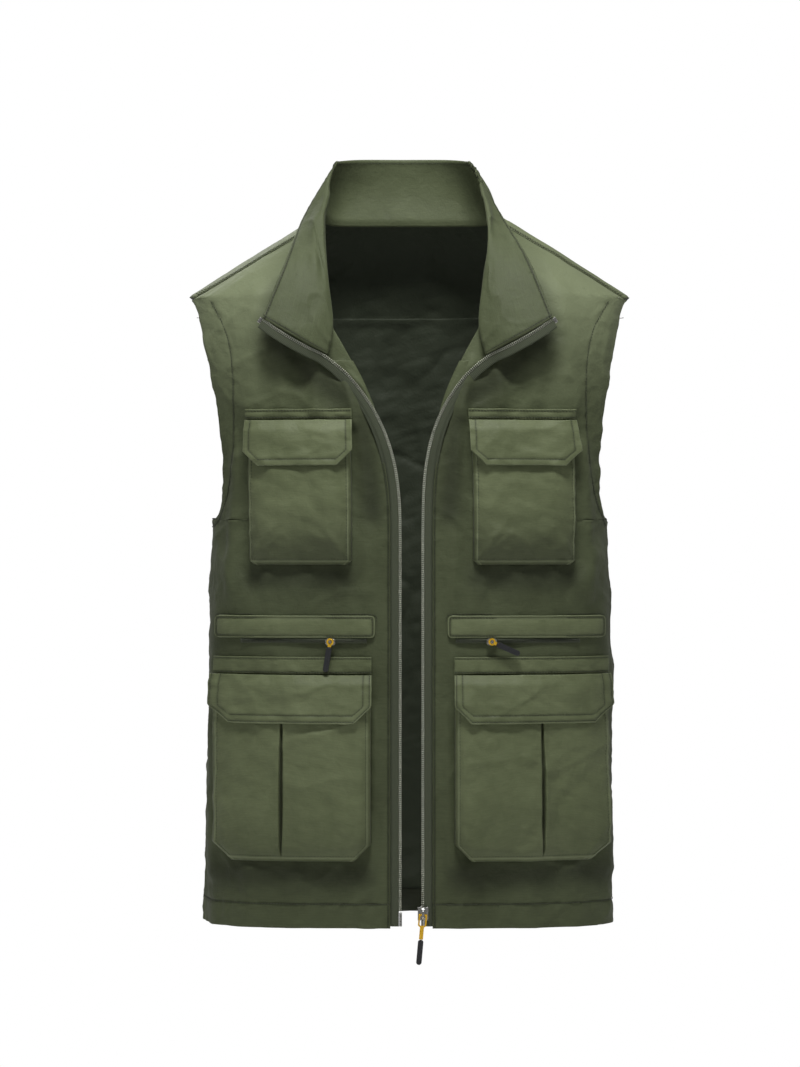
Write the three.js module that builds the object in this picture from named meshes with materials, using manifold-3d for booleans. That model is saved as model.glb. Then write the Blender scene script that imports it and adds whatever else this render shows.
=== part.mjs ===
// A hip-length utility and fishing vest with a stand collar worn open, as it hangs on a wide hanger.
// Millimetres, +Z up. The wearer faces -Y, and the wearer's left side is +X.
// The origin is the middle of the hanger rest, midway between the two shoulders and front to back.
import * as THREE from "three";
import Module from "manifold-3d";
import { mergeVertices } from "three/addons/utils/BufferGeometryUtils.js";

// ---- Overall sizes of the garment ----
const bodyLength = 699; // from the hanger rest down to the hem
const hemHalfWidth = 205.5;
const waistHalfWidth = 201.5;
const underarmHalfWidth = 198.5;
const shoulderHalfWidth = 221;
const neckHalfWidth = 88;
const halfDepth = 100; // front to back, each way from the middle
const squareness = 3; // exponent of the horizontal section, 2 is an ellipse

// ---- Heights ----
const neckPointZ = 16; // where the shoulder ridge meets the collar
const shoulderTipZ = -70;
const underarmZ = -293;
const waistZ = -374;
const fullDepthZ = -280; // below this the chest is at its full depth
const hemZ = -bodyLength;
const jointZ = -176; // the front panels swing below this line
const backYokeZ = -90;
const backNeckZ = 8;

// ---- Fabric and clearances ----
const cloth = 2.5; // a panel with its lining
const seamGap = 0.3; // between pieces that are sewn together
const layGap = 0.6; // between a piece and what it lies on
const liningGap = 0.9; // behind a curved panel, between it and what is sewn inside
const facingGap = { front: 2.3, left: 1.85, right: 2.3 }; // the same beside the front and back armholes
const hemDepth = 24;
const hemPly = 1.4;

// ---- Front edge, zip and lapel ----
const gapCentre = 1.5; // the fronts hang a little to the wearer's left
const neckCentre = -7; // and the neck a little to the wearer's right
const halfGap = 12.5; // from the middle of the gap to the edge of the zip tape
const tapeWidth = 8;
const tapePly = 1;
const teethWidth = 2.7;
const teethDepth = 2.6;
const lapelTopZ = -133;
const lapelTopX = 78;
const lapelEndZ = -192;
const lapelStartZ = -320; // where the front edge starts to lean outwards
const rollTopZ = -104;
const rollTopX = 72;
const zipBottomZ = hemZ + 2;

// ---- Collar ----
const collarPly = 2.5;
const collarTopZ = 71;
const collarBackTopZ = 75;
const collarTopHalfWidth = 67;
const collarTopDepth = 38;
const collarTipX = 140;
const collarTipZ = -101;
const collarTipLift = 26; // how far the turned-out tip stands off the chest
const lapelLift = 8;

// ---- Armhole ----
const armholeTurn = 25; // degrees that the armhole reaches round from the side, each way
const facingTurn = 9; // degrees of the sewn-in facing strip
const facingPly = 1.2;

// ---- Pockets: centre and size of each, and how far it stands proud ----
const chestPocket = {
  name: "chest", centre: 110.5, width: 102, bandWidth: 105, bandTop: -184, bandHeight: 10,
  flapHeight: 45.5, flapCorner: 15, mouthDrop: 10, bottom: -339, corner: 5, bulge: 17, mouthBulge: 8,
  rise: 12, outerShare: 0.8,
};
const cargoPocket = {
  name: "cargo", centre: 118.5, width: 155, bandWidth: 155, bandTop: -430, bandHeight: 17,
  flapHeight: 48.5, flapCorner: 17, mouthDrop: 10, bottom: -633, corner: 17, bulge: 18, mouthBulge: 9,
  rise: 14, outerShare: 0.3,
};
const bagPly = 1.8;
const flapPly = 2;
const flapLift = 2.4; // clear space between a flap and the bag under it

// ---- Zipped hand pockets ----
const welt = { from: 36, to: 194, top: -389, bottom: -411, ply: 2.4 };
const handZip = { from: 44, to: 168, height: 5, ply: 1.3, lift: 1.4 };
const handBag = { from: 46, to: 166, top: -402, bottom: -560, ply: 1.4 };

// ---- Sliders and pulls ----
const slideGap = 0.6; // clear space between a slider and the teeth or tape it runs on
const pullGap = 0.4; // running clearance of a pull's loop
const mainSlider = { height: 13, plate: 1.5, reach: 4, bridgeWidth: 2.4, bridgeOut: 4.2, bridgeHalf: 5 };
const handSlider = { width: 10, height: 6.4, depth: 2.6, at: 79.5, postRadius: 1.5, postHeight: 2.6 };
const mainLink = { width: 8.4, loop: 13, wire: 1.6, bar: 12, barWidth: 4 };
const handLink = { wire: 1.7, ply: 1.5, bar: 1.4, barWidth: 3.4 };
const pullTab = { length: 25, width: 5.4, ply: 2.8 };
const retainerHeight = 6;
const pinHeight = 14;
const stopLength = 3.2;
const mainPullLean = 5; // degrees the tab leans sideways
const handPullAngle = { left: 66, right: -9 }; // degrees from hanging straight down

const degrees = Math.PI / 180;
const wasm = await Module();
wasm.setup();
const vest = new THREE.Group();

// ---- Materials ----
const oliveShell = { color: 0x5a6248, roughness: 0.75, metalness: 0 };
const oliveTrim = { color: 0x4a5139, roughness: 0.8, metalness: 0 };
const zipTapeCloth = { color: 0x4d5440, roughness: 0.85, metalness: 0 };
const zipTeeth = { color: 0x8a8c78, roughness: 0.4, metalness: 0.6 };
const silver = { color: 0xb9bab8, roughness: 0.3, metalness: 1 };
const gold = { color: 0xc9a23c, roughness: 0.3, metalness: 1 };
const blackRubber = { color: 0x1c1d1f, roughness: 0.6, metalness: 0 };

function addMesh(name, geometry, finish) {
  const mesh = new THREE.Mesh(geometry, new THREE.MeshStandardMaterial(finish));
  mesh.name = name;
  vest.add(mesh);
  return mesh;
}

// ---- The shape of the body that every panel follows ----
const ease = (t) => (1 - Math.cos(Math.PI * THREE.MathUtils.clamp(t, 0, 1))) / 2;
const mix = THREE.MathUtils.lerp;
const share = (value, from, to) => THREE.MathUtils.clamp((value - from) / (to - from), 0, 1);

// Half the width at a height: along the shoulder slope, then down the side.
function halfWidth(z) {
  if (z > shoulderTipZ) return mix(shoulderHalfWidth, neckHalfWidth, share(z, shoulderTipZ, neckPointZ));
  if (z > underarmZ) return mix(underarmHalfWidth, shoulderHalfWidth, ease(share(z, underarmZ, shoulderTipZ)));
  if (z > waistZ) return mix(waistHalfWidth, underarmHalfWidth, ease(share(z, waistZ, underarmZ)));
  return mix(hemHalfWidth, waistHalfWidth, share(z, hemZ, waistZ));
}

// How far the front or back stands from the middle: it rounds over from the shoulder ridge.
function depthAt(z, front) {
  const t = share(z, neckPointZ, fullDepthZ);
  return halfDepth * Math.pow(1 - Math.pow(1 - t, 4), front ? 0.625 : 0.45);
}

const sideShift = (z) => mix(gapCentre, neckCentre, ease(share(z, -300, -60)));

// A point of the body's outer face. The angle is 0 at the front, 90 at the wearer's left, 180 behind.
function onBody(angle, z) {
  const s = Math.sin(angle * degrees), c = Math.cos(angle * degrees);
  const round = (value) => Math.sign(value) * Math.pow(Math.abs(value), 2 / squareness);
  const x = halfWidth(z) * round(s);
  const y = -depthAt(z, c > 0) * round(c);
  return new THREE.Vector3(x + sideShift(z) * (1 - Math.abs(round(s))), y, z);
}

function outwardAt(angle, z) {
  const step = 0.4;
  const across = onBody(angle + step, z).sub(onBody(angle - step, z));
  const up = onBody(angle, z + step).sub(onBody(angle, z - step));
  return across.cross(up).normalize();
}

const offBody = (angle, z, out) => onBody(angle, z).addScaledVector(outwardAt(angle, z), out);

// The turn from 90 degrees that leaves the seam's gap at the side, where the section is at its widest.
const seamTurn = Math.asin(Math.pow(seamGap / halfDepth, squareness / 2)) / degrees;

// The angle at which the front lies x from the middle, for side +1 or -1.
const angleFor = (x, z) => Math.asin(Math.min(1, Math.pow(x / halfWidth(z), squareness / 2))) / degrees;

// ---- Closed sheets ----
// place(u, v, w) gives a point: u and v run over the sheet and w from its inner to its outer face.
function sheet(place, columns, rows) {
  const box = new THREE.BoxGeometry(1, 1, 1, columns, rows, 1);
  const spots = box.getAttribute("position");
  const corner = new THREE.Vector3();
  for (let i = 0; i < spots.count; i++) {
    corner.fromBufferAttribute(spots, i).addScalar(0.5);
    spots.setXYZ(i, ...place(corner.x, corner.y, corner.z).toArray());
  }
  return facingOut(box);
}

function facingOut(geometry) {
  geometry.deleteAttribute("normal");
  geometry.deleteAttribute("uv");
  const shape = mergeVertices(geometry, 1e-3);
  const spots = shape.getAttribute("position");
  const order = shape.index.array;
  const [a, b, c] = [new THREE.Vector3(), new THREE.Vector3(), new THREE.Vector3()];
  let volume = 0;
  for (let i = 0; i < order.length; i += 3) {
    a.fromBufferAttribute(spots, order[i]);
    b.fromBufferAttribute(spots, order[i + 1]);
    c.fromBufferAttribute(spots, order[i + 2]);
    volume += a.dot(b.cross(c));
  }
  if (volume < 0)
    for (let i = 0; i < order.length; i += 3) [order[i], order[i + 1]] = [order[i + 1], order[i]];
  shape.computeVertexNormals();
  return shape;
}

// A sheet on one side's front, between two distances from the middle and two heights.
function frontSheet(side, xFrom, xTo, zFrom, zTo, inner, outer, columns, rows, even = true) {
  const at = (value, u, z) => (typeof value === "function" ? value(u, z) : value);
  return sheet((u, v, w) => {
    const z = mix(zFrom, zTo, v);
    const near = angleFor(at(xFrom, u, z), z);
    const far = typeof xTo === "function" ? xTo(z) : angleFor(xTo, z);
    const x = even ? u : ease(u);
    return offBody(side * mix(near, far, x), z, mix(at(inner, x, z), at(outer, x, z), w));
  }, columns, rows);
}

function toSolid(geometry) {
  const shape = facingOut(geometry);
  return new wasm.Manifold(new wasm.Mesh({
    numProp: 3,
    vertProperties: new Float32Array(shape.getAttribute("position").array),
    triVerts: new Uint32Array(shape.index.array),
  }));
}

function fromSolid(solid) {
  const { vertProperties, triVerts } = solid.getMesh();
  const geometry = new THREE.BufferGeometry();
  geometry.setAttribute("position", new THREE.BufferAttribute(vertProperties, 3));
  geometry.setIndex(new THREE.BufferAttribute(triVerts, 1));
  return geometry;
}

// ---- Edges of the panels ----
// The zip edge of a front: straight up from the hem, then leaning out to the lapel's top.
const zipEdgeX = (z) => halfGap + (lapelTopX - halfGap) * Math.pow(share(z, lapelStartZ, lapelTopZ), 3.2);

// The line along which the lapel rolls outwards.
const rollX = (z) => mix(zipEdgeX(lapelEndZ), rollTopX, Math.pow(share(z, lapelEndZ, rollTopZ), 1.3));

function panelEdgeX(z) {
  if (z > rollTopZ) return mix(rollTopX, neckHalfWidth, share(z, rollTopZ, neckPointZ));
  return z > jointZ ? rollX(z) : zipEdgeX(z) + tapeWidth + 2 * seamGap;
}

// The armhole's edge as an angle, 90 at the underarm and at the shoulder tip.
function armholeAngle(z) {
  const t = share(z, underarmZ, shoulderTipZ - 2);
  return 90 - armholeTurn * Math.pow(Math.sin(Math.PI * t), 0.25);
}

const yokeSeamAngle = (z) => mix(54, 76, share(z, neckPointZ, shoulderTipZ));

function frontOuterAngle(z) {
  if (z > shoulderTipZ - 2) return yokeSeamAngle(z) - 0.6;
  return z < underarmZ ? 90 - seamTurn : Math.min(armholeAngle(z), 90 - seamTurn);
}

// ---- Back: panel, yoke over the shoulders, hem ----
const backTop = backYokeZ - seamGap;
addMesh("back_panel", sheet((u, v, w) => {
  const z = mix(hemZ + seamGap, backTop, v);
  const start = z < underarmZ ? 90 + seamTurn : Math.max(180 - armholeAngle(z), 90 + seamTurn);
  return offBody(mix(start, 360 - start, u), z, mix(-cloth, 0, w));
}, 22, 16), oliveShell);

addMesh("back_hem_turning", sheet((u, v, w) => {
  const z = mix(hemZ + seamGap, hemZ + hemDepth, v);
  return offBody(mix(90 + seamTurn, 270 - seamTurn, u), z, mix(-cloth - liningGap - hemPly, -cloth - liningGap, w));
}, 22, 1), oliveTrim);

function neckSeamZ(angle) {
  const turn = Math.min(Math.abs(angle), 360 - angle);
  return turn < 90 ? mix(7, neckPointZ - 0.5, share(turn, 54, 90)) : mix(neckPointZ - 0.5, backNeckZ, ease(share(turn, 90, 150)));
}

function yokeBottomZ(angle) {
  const turn = Math.min(angle, 360 - angle);
  return mix(shoulderTipZ, backYokeZ, share(turn, 84, 97));
}

addMesh("back_yoke", sheet((u, v, w) => {
  const across = mix(56, 304, u), turn = Math.min(across, 360 - across);
  const top = turn < 90 ? Math.min(neckSeamZ(turn), neckPointZ - 6) : neckSeamZ(turn);
  const z = mix(yokeBottomZ(turn), top, v);
  const turned = mix(yokeSeamAngle(z) + 0.6, 180, share(turn, 56, 180));
  return offBody(across < 180 ? turned : 360 - turned, z, mix(-cloth, 0, w));
}, 28, 5), oliveShell);

// ---- Each side ----
const sides = [["left", 1], ["right", -1]];

for (const [hand, side] of sides) {
  // Front: upper part under the shoulder, lower part that swings open, turned-up hem.
  addMesh(`front_upper_${hand}`, frontSheet(side, (u, z) => panelEdgeX(z), frontOuterAngle,
    jointZ + seamGap, neckPointZ - 13, -cloth, 0, 8, 12), oliveShell);
  addMesh(`front_panel_${hand}`, frontSheet(side, (u, z) => panelEdgeX(z), frontOuterAngle,
    hemZ, jointZ - seamGap, -cloth, 0, 12, 18), oliveShell);
  addMesh(`hem_turning_${hand}`, frontSheet(side, halfGap + tapeWidth + 1, () => 88,
    hemZ, hemZ + hemDepth, -cloth - liningGap - hemPly, -cloth - liningGap, 10, 1), oliveTrim);

  // Armhole facings, sewn inside the edge of the front and of the back.
  const behind = (w, gap) => -cloth - gap - facingPly * (1 - w);
  addMesh(`armhole_facing_front_${hand}`, sheet((u, v, w) => {
    const z = mix(underarmZ + 6, jointZ - seamGap, v);
    const edge = armholeAngle(z) - 0.6;
    return offBody(side * mix(edge - facingTurn, edge, u), z, behind(w, facingGap.front));
  }, 2, 8), oliveTrim);
  addMesh(`armhole_facing_back_${hand}`, sheet((u, v, w) => {
    const z = mix(underarmZ + 6, backTop - 1, v);
    const edge = 180 - armholeAngle(z) + 0.6;
    return offBody(side * mix(edge + facingTurn, edge, u), z, behind(w, facingGap[hand]));
  }, 2, 10), oliveTrim);
}

// ---- Collar: a stand round the back of the neck and two turned-out leaves ----
function neckSeam(angle) {
  return onBody(angle, neckSeamZ(angle)).add(new THREE.Vector3(0, 0, layGap));
}

function collarTop(angle) {
  const c = Math.cos(angle * degrees), s = Math.sin(angle * degrees);
  const z = mix(collarTopZ, collarBackTopZ, ease(Math.abs(c)));
  return new THREE.Vector3(collarTopHalfWidth * s + neckCentre, 4 - collarTopDepth * c, z);
}

const flatOutward = (angle) => new THREE.Vector3(Math.sin(angle * degrees), -Math.cos(angle * degrees), 0);

addMesh("collar_stand", sheet((u, v, w) => {
  const angle = mix(91, 269, u);
  const wall = neckSeam(angle).lerp(collarTop(angle), v);
  return wall.addScaledVector(flatOutward(angle), 5 * Math.sin(Math.PI * v) - collarPly * (1 - w));
}, 18, 3), oliveShell);

// The top edge of a leaf, from the side of the neck to the tip, and its neck seam below it.
function leafTopEdge(side) {
  const start = collarTop(side * 90);
  const tip = offBody(side * angleFor(collarTipX, collarTipZ), collarTipZ, collarTipLift);
  const mid = offBody(side * angleFor(120, -45), -45, 14);
  const high = new THREE.Vector3(side * 99 + neckCentre, -0.15 * halfDepth, 15);
  return new THREE.CatmullRomCurve3([start, high, mid, tip]);
}

function leafNeckEdge(side) {
  const at = (x, z, out) => offBody(side * angleFor(x, z), z, out);
  return new THREE.CatmullRomCurve3([
    neckSeam(side * 90), at(panelEdgeX(-20), -20, 4), at(panelEdgeX(-62), -62, 5),
    at(rollTopX + 1, rollTopZ, 6), at(lapelTopX, lapelTopZ, lapelLift),
  ]);
}

function leafPoint(side, u, v, neck, top) {
  const roll = new THREE.Vector3(-side * mix(2, 8, u), -mix(3, 9, u), mix(10, 3, u) * Math.sin(Math.PI * u));
  return neck.getPoint(u).lerp(top.getPoint(u), v).addScaledVector(roll, Math.sin(Math.PI * v));
}

for (const [hand, side] of sides) {
  const neck = leafNeckEdge(side), top = leafTopEdge(side);
  addMesh(`collar_leaf_${hand}`, sheet((u, v, w) => {
    const along = mix(0.02, 0.985, u), across = mix(0.04, 1, v), step = 0.01;
    const here = leafPoint(side, along, across, neck, top);
    const du = leafPoint(side, along + step, across, neck, top).sub(here);
    const dv = leafPoint(side, along, across + step, neck, top).sub(here);
    const out = du.cross(dv).normalize().multiplyScalar(side);
    return here.addScaledVector(out, mix(-collarPly / 2, collarPly / 2, w));
  }, 12, 6), oliveShell);
}

// ---- Front zip: tape and teeth, as far as the lapel on the swinging front and beyond it above ----
// A strip along a path: across is the way from the teeth to the cloth, out is away from the body.
function strip(path, from, to, low, high, steps, across) {
  return sheet((u, v, w) => {
    const t = mix(0, 1, u);
    const along = path.getTangentAt(t);
    const out = across.out(t);
    const inward = along.clone().cross(out).normalize().multiplyScalar(across.side);
    const up = inward.clone().cross(along).multiplyScalar(across.side).normalize();
    return path.getPointAt(t).addScaledVector(inward, mix(from, to, v)).addScaledVector(up, mix(low, high, w));
  }, steps, 1);
}

for (const [hand, side] of sides) {
  // Below the joint the tape lies flush beside the front panel, and the teeth run along its edge.
  const onFront = (from, to, inner, outer, z0, rows) => frontSheet(side, (u, z) => zipEdgeX(z) + from,
    (z) => angleFor(zipEdgeX(z) + to, z), z0, jointZ - seamGap, inner, outer, 1, rows);
  addMesh(`zip_tape_lower_${hand}`, onFront(0, tapeWidth, -1.8, -1.8 + tapePly, zipBottomZ, 18), zipTapeCloth);
  const foot = side > 0 ? retainerHeight : pinHeight;
  addMesh(`zip_teeth_lower_${hand}`, onFront(-teethWidth - seamGap, -seamGap, -teethDepth, 0,
    zipBottomZ + foot + seamGap, 18), zipTeeth);
  addMesh(side > 0 ? "zip_retaining_box" : "zip_insertion_pin", frontSheet(side,
    zipEdgeX(hemZ) - teethWidth - seamGap, zipEdgeX(hemZ) - seamGap, zipBottomZ, zipBottomZ + foot,
    -teethDepth - 0.4, 0.4, 1, 1), silver);

  // Above it the tape follows the lapel's edge, then the end of the turned-out collar to its tip.
  const at = (x, z, out) => offBody(side * angleFor(x, z), z, out);
  const tip = offBody(side * angleFor(collarTipX, collarTipZ), collarTipZ, collarTipLift - 3);
  const path = new THREE.CatmullRomCurve3([
    at(zipEdgeX(jointZ + 2), jointZ + 2, lapelLift - 2), at(zipEdgeX(-150), -150, lapelLift - 1),
    at(lapelTopX + 1, lapelTopZ - 2, lapelLift), at(112, -120, 18), tip,
  ]);
  const across = { side: -side, out: () => new THREE.Vector3(side * 0.25, -1, 0.1).normalize() };
  addMesh(`zip_tape_upper_${hand}`, strip(path, 0, tapeWidth - 1, -3.4, -3.4 + tapePly, 14, across), zipTapeCloth);
  addMesh(`zip_teeth_upper_${hand}`, strip(path, -teethWidth - seamGap, -seamGap, -3.4, -3.4 + teethDepth, 14, across), zipTeeth);
  const end = path.getPointAt(1), on = path.getTangentAt(1);
  const stopPath = new THREE.LineCurve3(end.clone().addScaledVector(on, seamGap),
    end.clone().addScaledVector(on, seamGap + stopLength));
  addMesh(`zip_top_stop_${hand}`, strip(stopPath, -teethWidth - seamGap, tapeWidth / 3,
    -3.8, -3 + teethDepth, 1, across), silver);
  addMesh(`lapel_facing_${hand}`, sheet((u, v, w) => {
    const z = mix(jointZ + 1.5, lapelTopZ - 3, v);
    const x = mix(rollX(z) - 1, zipEdgeX(z) - 1.5, u);
    return offBody(side * angleFor(x, z), z, mix(layGap, layGap + facingPly, w));
  }, 3, 5), oliveTrim);
}

// ---- Pockets: a bag with its mouth open upwards, a sewn band above it and a flap that lifts ----
// How far the outside of a bag stands off the body, away from its sewn edges. It is lower at the
// outer side, u = 1, where it nears the side seam.
function bagRise(pocket, z, u) {
  const mouthZ = pocket.bandTop - pocket.bandHeight - pocket.mouthDrop;
  const t = share(z, mouthZ, pocket.bottom);
  const full = mix(pocket.mouthBulge, pocket.bulge, Math.sin(Math.min(1, t * 1.6) * Math.PI / 2));
  return full * mix(1, pocket.outerShare, ease(u));
}

// The bag's outline narrows at its bottom corners, and a flap's at its own.
function cornerCut(t, corner, height) {
  return corner * Math.max(0, 1 - (t * height) / corner);
}

function addBag(pocket, hand, side) {
  const { centre, width, bottom, rise } = pocket;
  const mouthZ = pocket.bandTop - pocket.bandHeight - pocket.mouthDrop;
  const height = mouthZ - bottom;
  addMesh(`${pocket.name}_pocket_${hand}`, sheet((u, v, w) => {
    const cu = ease(u), t = v * v * (3 - 2 * v) * 0.5 + v * 0.5;
    const z = mix(bottom, mouthZ, t);
    const half = width / 2 - cornerCut(t, pocket.corner, height);
    const x = centre + side * gapCentre + (2 * cu - 1) * half;
    const fromEdge = Math.min(half - Math.abs(2 * cu - 1) * half, t * height);
    const lifted = Math.sqrt(1 - Math.pow(1 - Math.min(1, fromEdge / rise), 2));
    const outer = layGap + bagPly + (Math.max(bagRise(pocket, z, cu), 3) - layGap - bagPly) * lifted;
    const inner = fromEdge < 0.01 ? layGap : Math.max(layGap, outer - bagPly);
    return offBody(side * angleFor(x, z), z, mix(inner, outer, w));
  }, 14, 9), oliveShell);
}

function addBand(pocket, hand, side) {
  const bottomZ = pocket.bandTop - pocket.bandHeight;
  const half = pocket.bandWidth / 2, centre = pocket.centre + side * gapCentre;
  addMesh(`${pocket.name}_flap_band_${hand}`, frontSheet(side, centre - half, centre + half,
    bottomZ, pocket.bandTop, layGap, layGap + flapPly, 10, 1), oliveShell);
}

function addFlap(pocket, hand, side) {
  const hingeZ = pocket.bandTop - pocket.bandHeight - seamGap;
  const centre = pocket.centre + side * gapCentre, clear = flapLift + flapPly / 2;
  addMesh(`${pocket.name}_flap_${hand}`, sheet((u, v, w) => {
    const z = hingeZ - v * pocket.flapHeight;
    const half = pocket.bandWidth / 2 - cornerCut(1 - v, pocket.flapCorner, pocket.flapHeight);
    const x = centre + (2 * u - 1) * half;
    const risen = Math.max(bagRise(pocket, z, u), 3) + clear;
    const over = mix(layGap + 2 * flapPly, risen, Math.min(1, v * pocket.flapHeight / pocket.mouthDrop));
    return offBody(side * angleFor(x, z), z, over + mix(-flapPly / 2, flapPly / 2, w));
  }, 10, 6), oliveShell);
}

for (const [hand, side] of sides)
  for (const pocket of [chestPocket, cargoPocket]) {
    addBag(pocket, hand, side);
    addBand(pocket, hand, side);
    addFlap(pocket, hand, side);
  }

// ---- Zipped hand pockets: a welt, the zip under its edge, and a flat bag behind the panel ----
// The zip's track is an arc about an upright axis, so that its slider can follow the body round.
const handZipZ = welt.bottom - seamGap - handZip.height / 2;

function handTrack(side) {
  const on = (x) => onBody(side * angleFor(x, handZipZ), handZipZ);
  const [p, q, r] = [on(handZip.from + 6), on((handZip.from + handZip.to) / 2), on(handZip.to - 6)];
  const circle = (a, b) => [2 * (b.x - a.x), 2 * (b.y - a.y), b.x * b.x - a.x * a.x + b.y * b.y - a.y * a.y];
  const [a1, b1, c1] = circle(p, q), [a2, b2, c2] = circle(q, r), det = a1 * b2 - a2 * b1;
  const x = (c1 * b2 - c2 * b1) / det, y = (a1 * c2 - a2 * c1) / det;
  return { x, y, radius: Math.hypot(p.x - x, p.y - y) };
}

// A point on the track, out from it, at the place where the body is x from the middle.
function onTrack(side, x, z, out) {
  const { x: cx, y: cy, radius } = handTrack(side);
  const spot = onBody(side * angleFor(x, handZipZ), handZipZ);
  const away = new THREE.Vector2(spot.x - cx, spot.y - cy).normalize().multiplyScalar(radius + out);
  return new THREE.Vector3(cx + away.x, cy + away.y, z);
}

for (const [hand, side] of sides) {
  addMesh(`hand_pocket_welt_${hand}`, frontSheet(side, welt.from, welt.to, welt.bottom, welt.top,
    layGap, layGap + welt.ply, 12, 1), oliveShell);
  addMesh(`hand_pocket_zip_${hand}`, sheet((u, v, w) => {
    const x = mix(handZip.from, handZip.to, u);
    const z = handZipZ + mix(-0.5, 0.5, v) * handZip.height;
    return onTrack(side, x, z, handZip.lift + mix(0, handZip.ply, w));
  }, 12, 1), zipTeeth);
  addMesh(`hand_pocket_bag_${hand}`, frontSheet(side, handBag.from, handBag.to, handBag.bottom, handBag.top,
    -cloth - liningGap - handBag.ply, -cloth - liningGap, 10, 5), oliveTrim);
}

// ---- Sliders and pulls ----
function extruded(shape, depth) {
  return new THREE.ExtrudeGeometry(shape, { depth, bevelEnabled: false, curveSegments: 6 });
}

function outline(points, hole) {
  const shape = new THREE.Shape(points.map(([x, y]) => new THREE.Vector2(x, y)));
  if (hole) shape.holes.push(new THREE.Path(hole.map(([x, y]) => new THREE.Vector2(x, y))));
  return shape;
}

function rounded(width, height, corner) {
  const w = width / 2, h = height / 2, c = corner;
  return [[-w + c, -h], [w - c, -h], [w, -h + c], [w, h - c], [w - c, h], [-w + c, h], [-w, h - c], [-w, -h + c]];
}

// A tab with its top at the origin, hanging down -Y, its thickness along Z.
function tabGeometry() {
  return extruded(outline(rounded(pullTab.width, pullTab.length, 1.6)), pullTab.ply)
    .translate(0, -pullTab.length / 2, -pullTab.ply / 2);
}

// The main slider wraps the teeth of the wearer's left front, with a bridge that holds the pull.
const teethX = zipEdgeX(hemZ) + gapCentre;
const frontY = onBody(angleFor(zipEdgeX(hemZ), hemZ), hemZ).y;
const sliderBottomZ = zipBottomZ + retainerHeight + seamGap;
const sliderMidZ = sliderBottomZ + mainSlider.height / 2;
const plateFrontY = frontY - slideGap - mainSlider.plate;
const plateBackY = frontY + teethDepth + slideGap + mainSlider.plate;
const neckX = teethX - teethWidth - seamGap - slideGap - 1.2;
const reachX = teethX + mainSlider.reach;
const channel = outline([
  [neckX - 1.6, plateBackY], [neckX - 1.6, plateFrontY], [reachX, plateFrontY],
  [reachX, plateFrontY + mainSlider.plate], [neckX, plateFrontY + mainSlider.plate],
  [neckX, plateBackY - mainSlider.plate], [reachX, plateBackY - mainSlider.plate], [reachX, plateBackY],
]);
const pullX = (neckX - 1.6 + reachX) / 2;
const { bridgeWidth, bridgeOut, bridgeHalf } = mainSlider;
const bridge = outline(
  [[-0.3, -bridgeHalf], [bridgeOut, -bridgeHalf + 1.8], [bridgeOut, bridgeHalf - 1.8], [-0.3, bridgeHalf]],
  [[0.3, -bridgeHalf + 2], [0.3, bridgeHalf - 2], [bridgeOut - 1, bridgeHalf - 2.6], [bridgeOut - 1, -bridgeHalf + 2.6]],
);
const outAndUp = new THREE.Matrix4().makeBasis(
  new THREE.Vector3(0, -1, 0), new THREE.Vector3(0, 0, 1), new THREE.Vector3(-1, 0, 0));
const bridgeSolid = toSolid(extruded(bridge, bridgeWidth).applyMatrix4(outAndUp)
  .translate(pullX + bridgeWidth / 2, plateFrontY, sliderMidZ));
const bodySolid = toSolid(extruded(channel, mainSlider.height).translate(0, 0, sliderBottomZ));
addMesh("main_zip_slider", fromSolid(bodySolid.add(bridgeSolid)), silver);

// The main pull: a ring through the bridge, a bar below it and a rubber tab.
const mainPull = new THREE.Group();
const loopOut = (0.3 + bridgeOut - 1) / 2;
mainPull.position.set(pullX, plateFrontY - loopOut, sliderMidZ - 1);
mainPull.rotation.set(Math.PI / 2, 0, 0);
const leaning = new THREE.Group();
leaning.rotation.z = -mainPullLean * degrees;
mainPull.add(leaning);
vest.add(mainPull);
const halfWire = mainLink.wire / 2, ringFoot = halfWire - mainLink.loop;
const linkOutline = outline([
  [-mainLink.width / 2, halfWire], [-mainLink.width / 2, ringFoot + 1.5], [-mainLink.barWidth / 2, ringFoot],
  [-mainLink.barWidth / 2, ringFoot - mainLink.bar], [mainLink.barWidth / 2, ringFoot - mainLink.bar],
  [mainLink.barWidth / 2, ringFoot], [mainLink.width / 2, ringFoot + 1.5], [mainLink.width / 2, halfWire],
], rounded(mainLink.width - 2 * mainLink.wire, mainLink.loop - 2 * mainLink.wire, 0.8)
  .map(([x, y]) => [x, y + halfWire - mainLink.loop / 2]));

function hang(name, geometry, finish, holder) {
  const mesh = addMesh(name, geometry, finish);
  holder.add(mesh);
  return mesh;
}

hang("main_pull_link", extruded(linkOutline, mainLink.wire).translate(0, 0, -halfWire), gold, leaning);
hang("main_pull_tab", tabGeometry().translate(0, ringFoot - mainLink.bar - seamGap, 0), blackRubber, leaning);

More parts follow.
